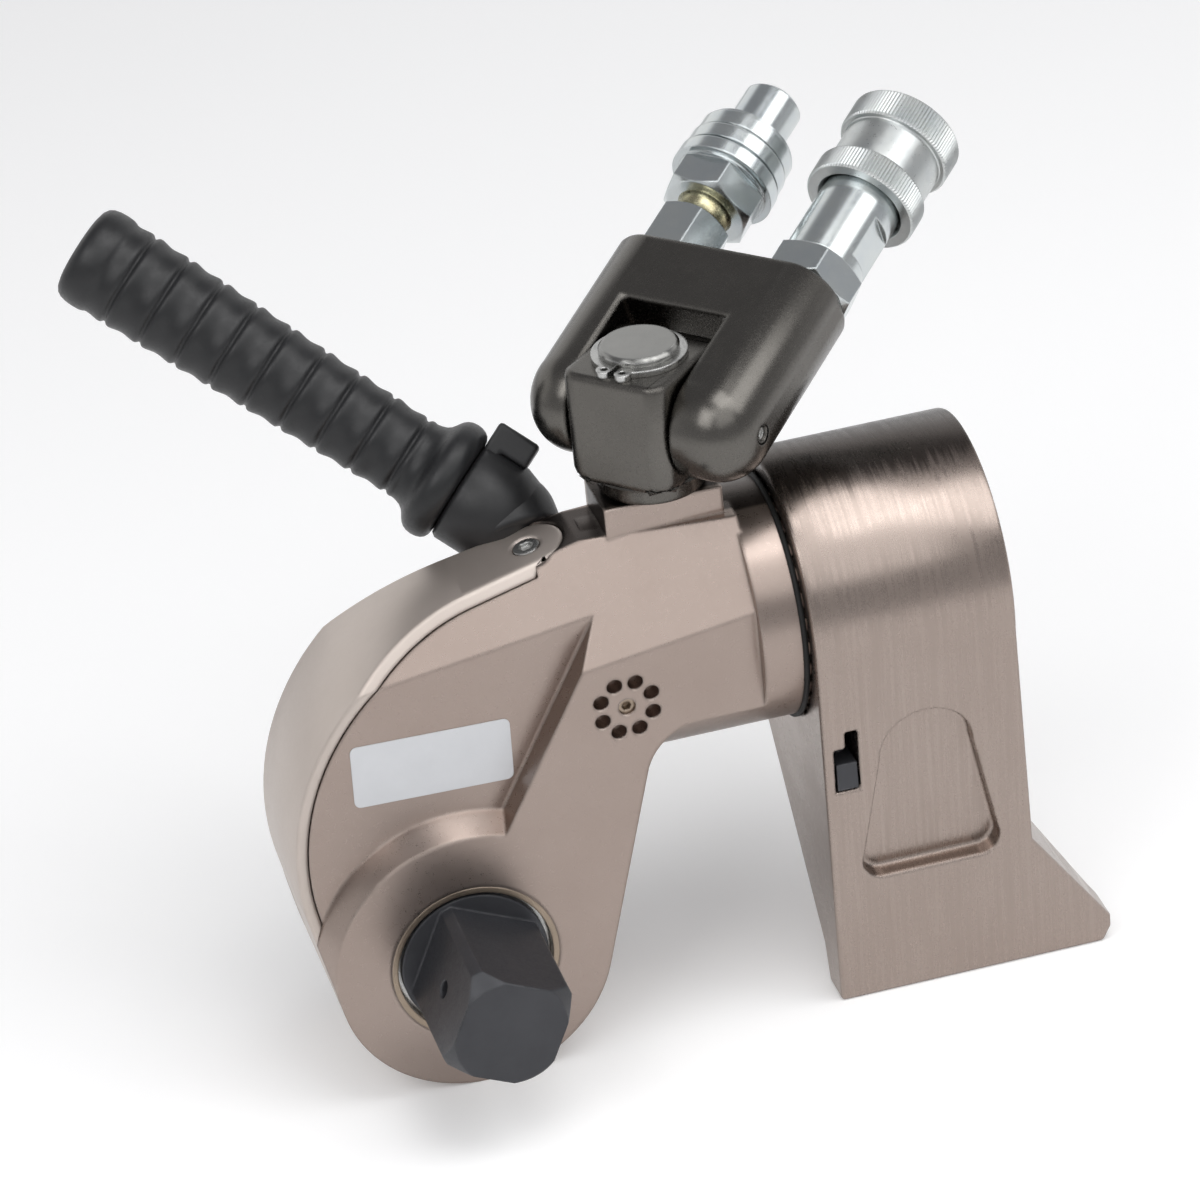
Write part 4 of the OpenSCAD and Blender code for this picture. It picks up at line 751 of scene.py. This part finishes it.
@dataclass
class Couplers:
    """The quick couplers, with a yellow neck on the supply side and a knurled sleeve on the return side."""

    supply_x: float = -16.6
    return_x: float = 20.8
    end_z: float = 41.5
    neck_r: float = 6.5
    neck_bore: float = 5.9
    neck_lip: float = 7.0
    neck_flare: float = 7.2
    neck_low: float = 14.6
    neck_high: float = 20.6
    neck_steps: int = 40
    sleeve_z: float = 30.5
    sleeve_len: float = 26.0
    sleeve_r: float = 12.3
    inner_r: float = 10.35
    ring_r: float = 14.0
    ring_low: float = 7.0
    ring_high: float = 8.0
    ring_soft: float = 0.6
    foot_soft: float = 1.0
    mouth_soft: float = 1.2
    waist_out: float = 0.25
    waist_up: float = 0.3
    teeth: int = 104
    tooth_depth: float = 0.34

    def build(self) -> None:
        """Makes the knurled sleeve and the yellow neck."""
        self._knurled_sleeve()
        self._yellow_neck()

    def _knurled_sleeve(self) -> None:
        """Makes the sleeve: a waist between two rings with teeth."""
        low, high = self.sleeve_z, self.sleeve_z + self.sleeve_len
        soft, waist = self.ring_soft, self.sleeve_r
        edge_r = self.ring_r - soft
        under, over = low + self.ring_low, high - self.ring_high
        loops = [
            (self.inner_r, low + self.foot_soft, False), (self.inner_r + soft, low, False),
            (edge_r, low, False),
            (self.ring_r, low + soft, True), (self.ring_r, under - soft, True),
            (edge_r, under, False), (waist + self.waist_out, under, False),
            (waist, under + self.waist_up, False), (waist, over - self.waist_up, False),
            (waist + self.waist_out, over, False), (edge_r, over, False),
            (self.ring_r, over + soft, True), (self.ring_r, high - soft, True), (edge_r, high, False),
            (self.inner_r + self.mouth_soft, high, False), (self.inner_r, high - self.mouth_soft, False)]
        shape = bmesh.new()
        ring = bmesh.ops.create_circle(shape, cap_ends=False, segments=2 * self.teeth, radius=1.0)["verts"]
        self._set_loop(ring, *loops[0])
        edges = list(shape.edges)
        for loop in loops[1:] + loops[:1]:
            grown = bmesh.ops.extrude_edge_only(shape, edges=edges)["geom"]
            edges = [g for g in grown if isinstance(g, bmesh.types.BMEdge)]
            self._set_loop([g for g in grown if isinstance(g, bmesh.types.BMVert)], *loop)
        bmesh.ops.transform(shape, matrix=MANIFOLD_SPOT.matrix(self.end_z, self.return_x), verts=shape.verts)
        made = piece("knurled_sleeve", shape, KNURL, "return_sleeve", smooth=False)
        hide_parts("return_sleeve")

    def _set_loop(self, verts: Sequence[bmesh.types.BMVert], radius: float, height: float,
                  toothed: bool) -> None:
        """Brings a ring of vertices to a radius and height, in millimetres.

        Args:
            verts: The ring's vertices, anywhere on their rays from the axis.
            radius: New radius.
            height: New height.
            toothed: Whether every second vertex stands back.
        """
        for vert in verts:
            angle = math.atan2(vert.co.y, vert.co.x)
            back = toothed and round(angle / math.pi * self.teeth) % 2 == 1
            reach = (radius - (self.tooth_depth if back else 0.0)) * MM
            vert.co = Vector((reach * math.cos(angle), reach * math.sin(angle), height * MM))

    def _yellow_neck(self) -> None:
        """Makes the plated ring on the supply coupler's neck."""
        bore, low, high = self.neck_bore, self.neck_low, self.neck_high
        neck = turned([(bore, low), (bore + 0.1, low), (self.neck_lip, low + 0.7), (self.neck_r, low + 2.0),
                       (self.neck_r, high - 1.2), (self.neck_flare, high), (bore, high), (bore, low)],
                      self.neck_steps)
        bmesh.ops.transform(neck, matrix=MANIFOLD_SPOT.matrix(self.end_z, self.supply_x), verts=neck.verts)
        piece("yellow_neck", neck, CHROMATE, "manifold")

    def dress(self) -> None:
        """Gives the couplers' CAD nodes their finishes."""
        dress(["supply_nipple", "return_adaptor", "return_body", "supply_adaptor"], ZINC)
        dress(["supply_poppet", "return_poppet", "return_balls", "sleeve_spring"], STEEL)


@dataclass
class ReactionArm:
    """The splined reaction arm and its latch."""

    arm_round: float = 0.9

    def dress(self) -> None:
        """Gives the arm's CAD nodes their finishes."""
        dress(["reaction_arm"], NICKEL_TURNED, round_mm=self.arm_round)
        dress(["arm_latch"], OXIDE)
        dress(["latch_spring"], STEEL)


@dataclass
class Handle:
    """The screw-in handle with its ribbed rubber grip.

    Each profile's points are a swell over a radius and a height. The flange and the neck count from their
    foot, a groove from its middle and the tip from the far end.
    """

    start: float = 14.0
    length: float = 106.0
    root_r: float = 9.7
    tip_r: float = 12.3
    tip_flat_r: float = 4.0
    flange_r: float = 15.2
    neck_r: float = 12.8
    throat_z: float = 9.6
    throat_swell: float = 0.7
    ribs_z: float = 12.6
    first_groove: float = 14.6
    pitch: float = 9.65
    grooves: int = 9
    steps: int = 56
    base_round: float = 0.9
    flange: Profile = ((-2.8, 0.0), (-1.1, 0.7), (0.0, 2.6), (0.0, 5.6), (-1.2, 7.4), (-3.0, 8.4))
    groove: Profile = ((0.20, -2.0), (0.28, -0.80), (-0.60, -0.30), (-0.60, 0.30), (0.28, 0.80), (0.20, 2.0),
                       (-0.16, 3.9), (-0.18, 5.5))
    tip: Profile = ((0.25, 8.2), (0.25, 3.6), (-0.6, 1.2), (-3.0, 0.1))
    neck: Profile = ((-4.3, -5.0), (-1.4, -1.5), (0.0, 2.5), (0.0, 12.8), (-0.8, 13.9))

    def build(self) -> None:
        """Makes the grip and the cone of the neck under it."""
        self._ribbed_grip()
        self._handle_neck()

    def _ribbed_grip(self) -> None:
        """Makes the grip: a round flange, ribs with a groove between each two, and a smooth tip."""
        profile = [(0.0, 0.0)]
        profile += [(self.flange_r + swell, height) for swell, height in self.flange]
        profile += [(self.radius(self.throat_z) + self.throat_swell, self.throat_z),
                    (self.radius(self.ribs_z), self.ribs_z)]
        for number in range(self.grooves):
            at = self.first_groove + number * self.pitch
            profile += [(self.radius(at) + swell, at + height) for swell, height in self.groove]
        profile += [(self.tip_r + swell, self.length - height) for swell, height in self.tip]
        profile += [(self.tip_flat_r, self.length), (0.0, self.length)]
        shape = turned(profile, self.steps)
        bmesh.ops.transform(shape, matrix=GRIP_SPOT.matrix(self.start), verts=shape.verts)
        made = piece("ribbed_grip", shape, RUBBER, "housing")
        smooth = made.modifiers.new("smooth_ribs", "SUBSURF")
        smooth.levels = smooth.render_levels = 1
        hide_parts("grip")

    def _handle_neck(self) -> None:
        """Makes the cone between the handle's base and the grip."""
        side = [(self.neck_r + swell, height) for swell, height in self.neck]
        neck = turned([(0.0, side[0][1]), *side, (0.0, side[-1][1])], self.steps)
        bmesh.ops.transform(neck, matrix=GRIP_SPOT.matrix(), verts=neck.verts)
        piece("handle_neck", neck, PLASTIC, "housing")

    def radius(self, height: float) -> float:
        """Returns the grip's mean radius at a height over its flange."""
        return self.root_r + (self.tip_r - self.root_r) * height / self.length

    def dress(self) -> None:
        """Gives the handle's CAD nodes their finishes."""
        dress(["handle_base", "lock_collar"], PLASTIC, round_mm=self.base_round)
        dress(["handle_core"], STEEL)


@dataclass(frozen=True)
class Lamp:
    """A soft box: its place, the point it faces and its side in metres, and its power in watts."""

    name: str
    spot: Point
    aim: Point
    size: float
    power: float

    def build(self) -> None:
        """Hangs the lamp."""
        data = bpy.data.lights.new(self.name, "AREA")
        data.shape = "SQUARE"
        data.size = self.size
        data.energy = self.power
        made = bpy.data.objects.new(self.name, data)
        bpy.context.scene.collection.objects.link(made)
        made.location = self.spot
        made.rotation_euler = (Vector(self.aim) - Vector(self.spot)).to_track_quat("-Z", "Y").to_euler()


LAMPS = (Lamp("key", (-0.85, -0.70, 1.15), (0.04, 0.02, 0.05), size=0.9, power=7.0),
         Lamp("front", (0.20, -1.00, 1.20), (0.06, 0.02, 0.05), size=1.2, power=6.0),
         Lamp("top", (0.22, -0.20, 1.35), (0.06, 0.02, 0.05), size=0.7, power=4.5),
         Lamp("right", (0.90, -0.37, 1.10), (0.08, 0.02, 0.09), size=0.8, power=5.0))


@dataclass
class Studio:
    """Floor, lamps, world and camera.

    The camera's right and up were fitted to the photograph. The backdrop's spans are parts of a direction.
    """

    right: Vector = field(default_factory=lambda: Vector((0.96018, -0.26345, -0.09300)))
    up: Vector = field(default_factory=lambda: Vector((0.20867, 0.45493, 0.86573)))
    pixels_per_mm: float = 4.25
    image: float = 1200.0
    origin_pixel: tuple[float, float] = (475.9, 963.4)
    distance: float = 1.45
    target_depth: float = 6.0
    sensor: float = 36.0
    far_clip: float = 50.0
    floor_z: float = -33.5
    floor_size: float = 6.0
    floor_color: Color = (0.93, 0.93, 0.93)
    floor_rough: float = 0.9
    floor_glow: float = 0.15
    white: Color = (1.0, 1.0, 1.0)
    room_low: Color = (0.55, 0.55, 0.56)
    room_high: Color = (0.30, 0.30, 0.31)
    room_span: Span = (-0.05, 0.7)
    backdrop_top: Span = (0.48, 0.66)
    backdrop_front: Span = (-0.1, 0.35)

    def camera(self) -> None:
        """Sets the camera at the photograph's view."""
        back = self.right.cross(self.up)
        data = bpy.data.cameras.new("camera")
        data.sensor_width = self.sensor
        data.lens = self.pixels_per_mm * self.distance / MM / self.image * data.sensor_width
        data.clip_end = self.far_clip
        made = bpy.data.objects.new("camera", data)
        bpy.context.scene.collection.objects.link(made)
        across = (self.image / 2 - self.origin_pixel[0]) / self.pixels_per_mm
        above = (self.origin_pixel[1] - self.image / 2) / self.pixels_per_mm
        target = (self.right * across + self.up * above + back * self.target_depth) * MM
        turn = Matrix((self.right, self.up, back)).transposed().to_4x4()
        made.matrix_world = Matrix.Translation(target + back * self.distance) @ turn
        bpy.context.scene.camera = made

    def floor(self) -> None:
        """Lays a pale floor under the wrench."""
        shape = bmesh.new()
        bmesh.ops.create_grid(shape, x_segments=1, y_segments=1, size=self.floor_size)
        bmesh.ops.translate(shape, vec=(0, 0, self.floor_z * MM), verts=shape.verts)
        mesh = bpy.data.meshes.new("floor")
        shape.to_mesh(mesh)
        shape.free()
        made = bpy.data.objects.new("floor", mesh)
        bpy.context.scene.collection.objects.link(made)
        mesh.materials.append(self.floor_paint())

    def floor_paint(self) -> bpy.types.Material:
        """Builds the floor's material, which glows a little where it is seen or mirrored.

        Returns:
            The material.
        """
        made = bpy.data.materials.new("pale_floor")
        made.use_nodes = True
        graph = Graph(made.node_tree)
        shader = made.node_tree.nodes["Principled BSDF"]
        shader.inputs["Base Color"].default_value = (*self.floor_color, 1)
        shader.inputs["Roughness"].default_value = self.floor_rough
        shader.inputs["Specular IOR Level"].default_value = 0.0
        shader.inputs["Emission Color"].default_value = (*self.white, 1)
        path = graph.node("ShaderNodeLightPath").outputs
        seen = graph.either(path["Is Camera Ray"], path["Is Glossy Ray"], path["Is Transmission Ray"])
        graph.feed(shader.inputs["Emission Strength"], graph.math("MULTIPLY", seen, self.floor_glow))
        return made

    def world(self) -> None:
        """Gives the room a white backdrop behind the wrench and a dimmer rest."""
        world = bpy.data.worlds.new("studio")
        bpy.context.scene.world = world
        world.use_nodes = True
        graph = Graph(world.node_tree)
        path = graph.node("ShaderNodeLightPath").outputs
        way = graph.node("ShaderNodeSeparateXYZ")
        graph.feed(way.inputs["Vector"], graph.node("ShaderNodeTexCoord").outputs["Generated"])
        low = graph.span(way.outputs["Z"], *self.backdrop_top, 1.0, 0.0, smooth=True)
        behind = graph.math("MULTIPLY", low, graph.span(way.outputs["Y"], *self.backdrop_front, smooth=True))
        mirrored = graph.math("MULTIPLY", path["Is Glossy Ray"], behind)
        seen = graph.either(path["Is Camera Ray"], path["Is Transmission Ray"], mirrored)
        height = graph.span(way.outputs["Z"], *self.room_span, smooth=True)
        room = graph.mix(height, self.room_low, self.room_high)
        shader = world.node_tree.nodes["Background"]
        graph.feed(shader.inputs["Color"], graph.mix(seen, room, self.white))

    def build(self) -> None:
        """Sets up the whole studio."""
        self.camera()
        self.floor()
        self.world()
        for lamp in LAMPS:
            lamp.build()
        bpy.context.scene.view_settings.view_transform = "Standard"


def main() -> None:
    """Builds and dresses the wrench, then sets up the studio."""
    logging.basicConfig(level=logging.INFO, format="%(name)s: %(message)s")
    head, couplers, handle = Head(), Couplers(), Handle()
    for group in (head, couplers, handle):
        group.build()
    for group in (head, Drive(), Swivel(), couplers, ReactionArm(), handle):
        group.dress()
    Studio().build()


if __name__ == "__main__":
    main()
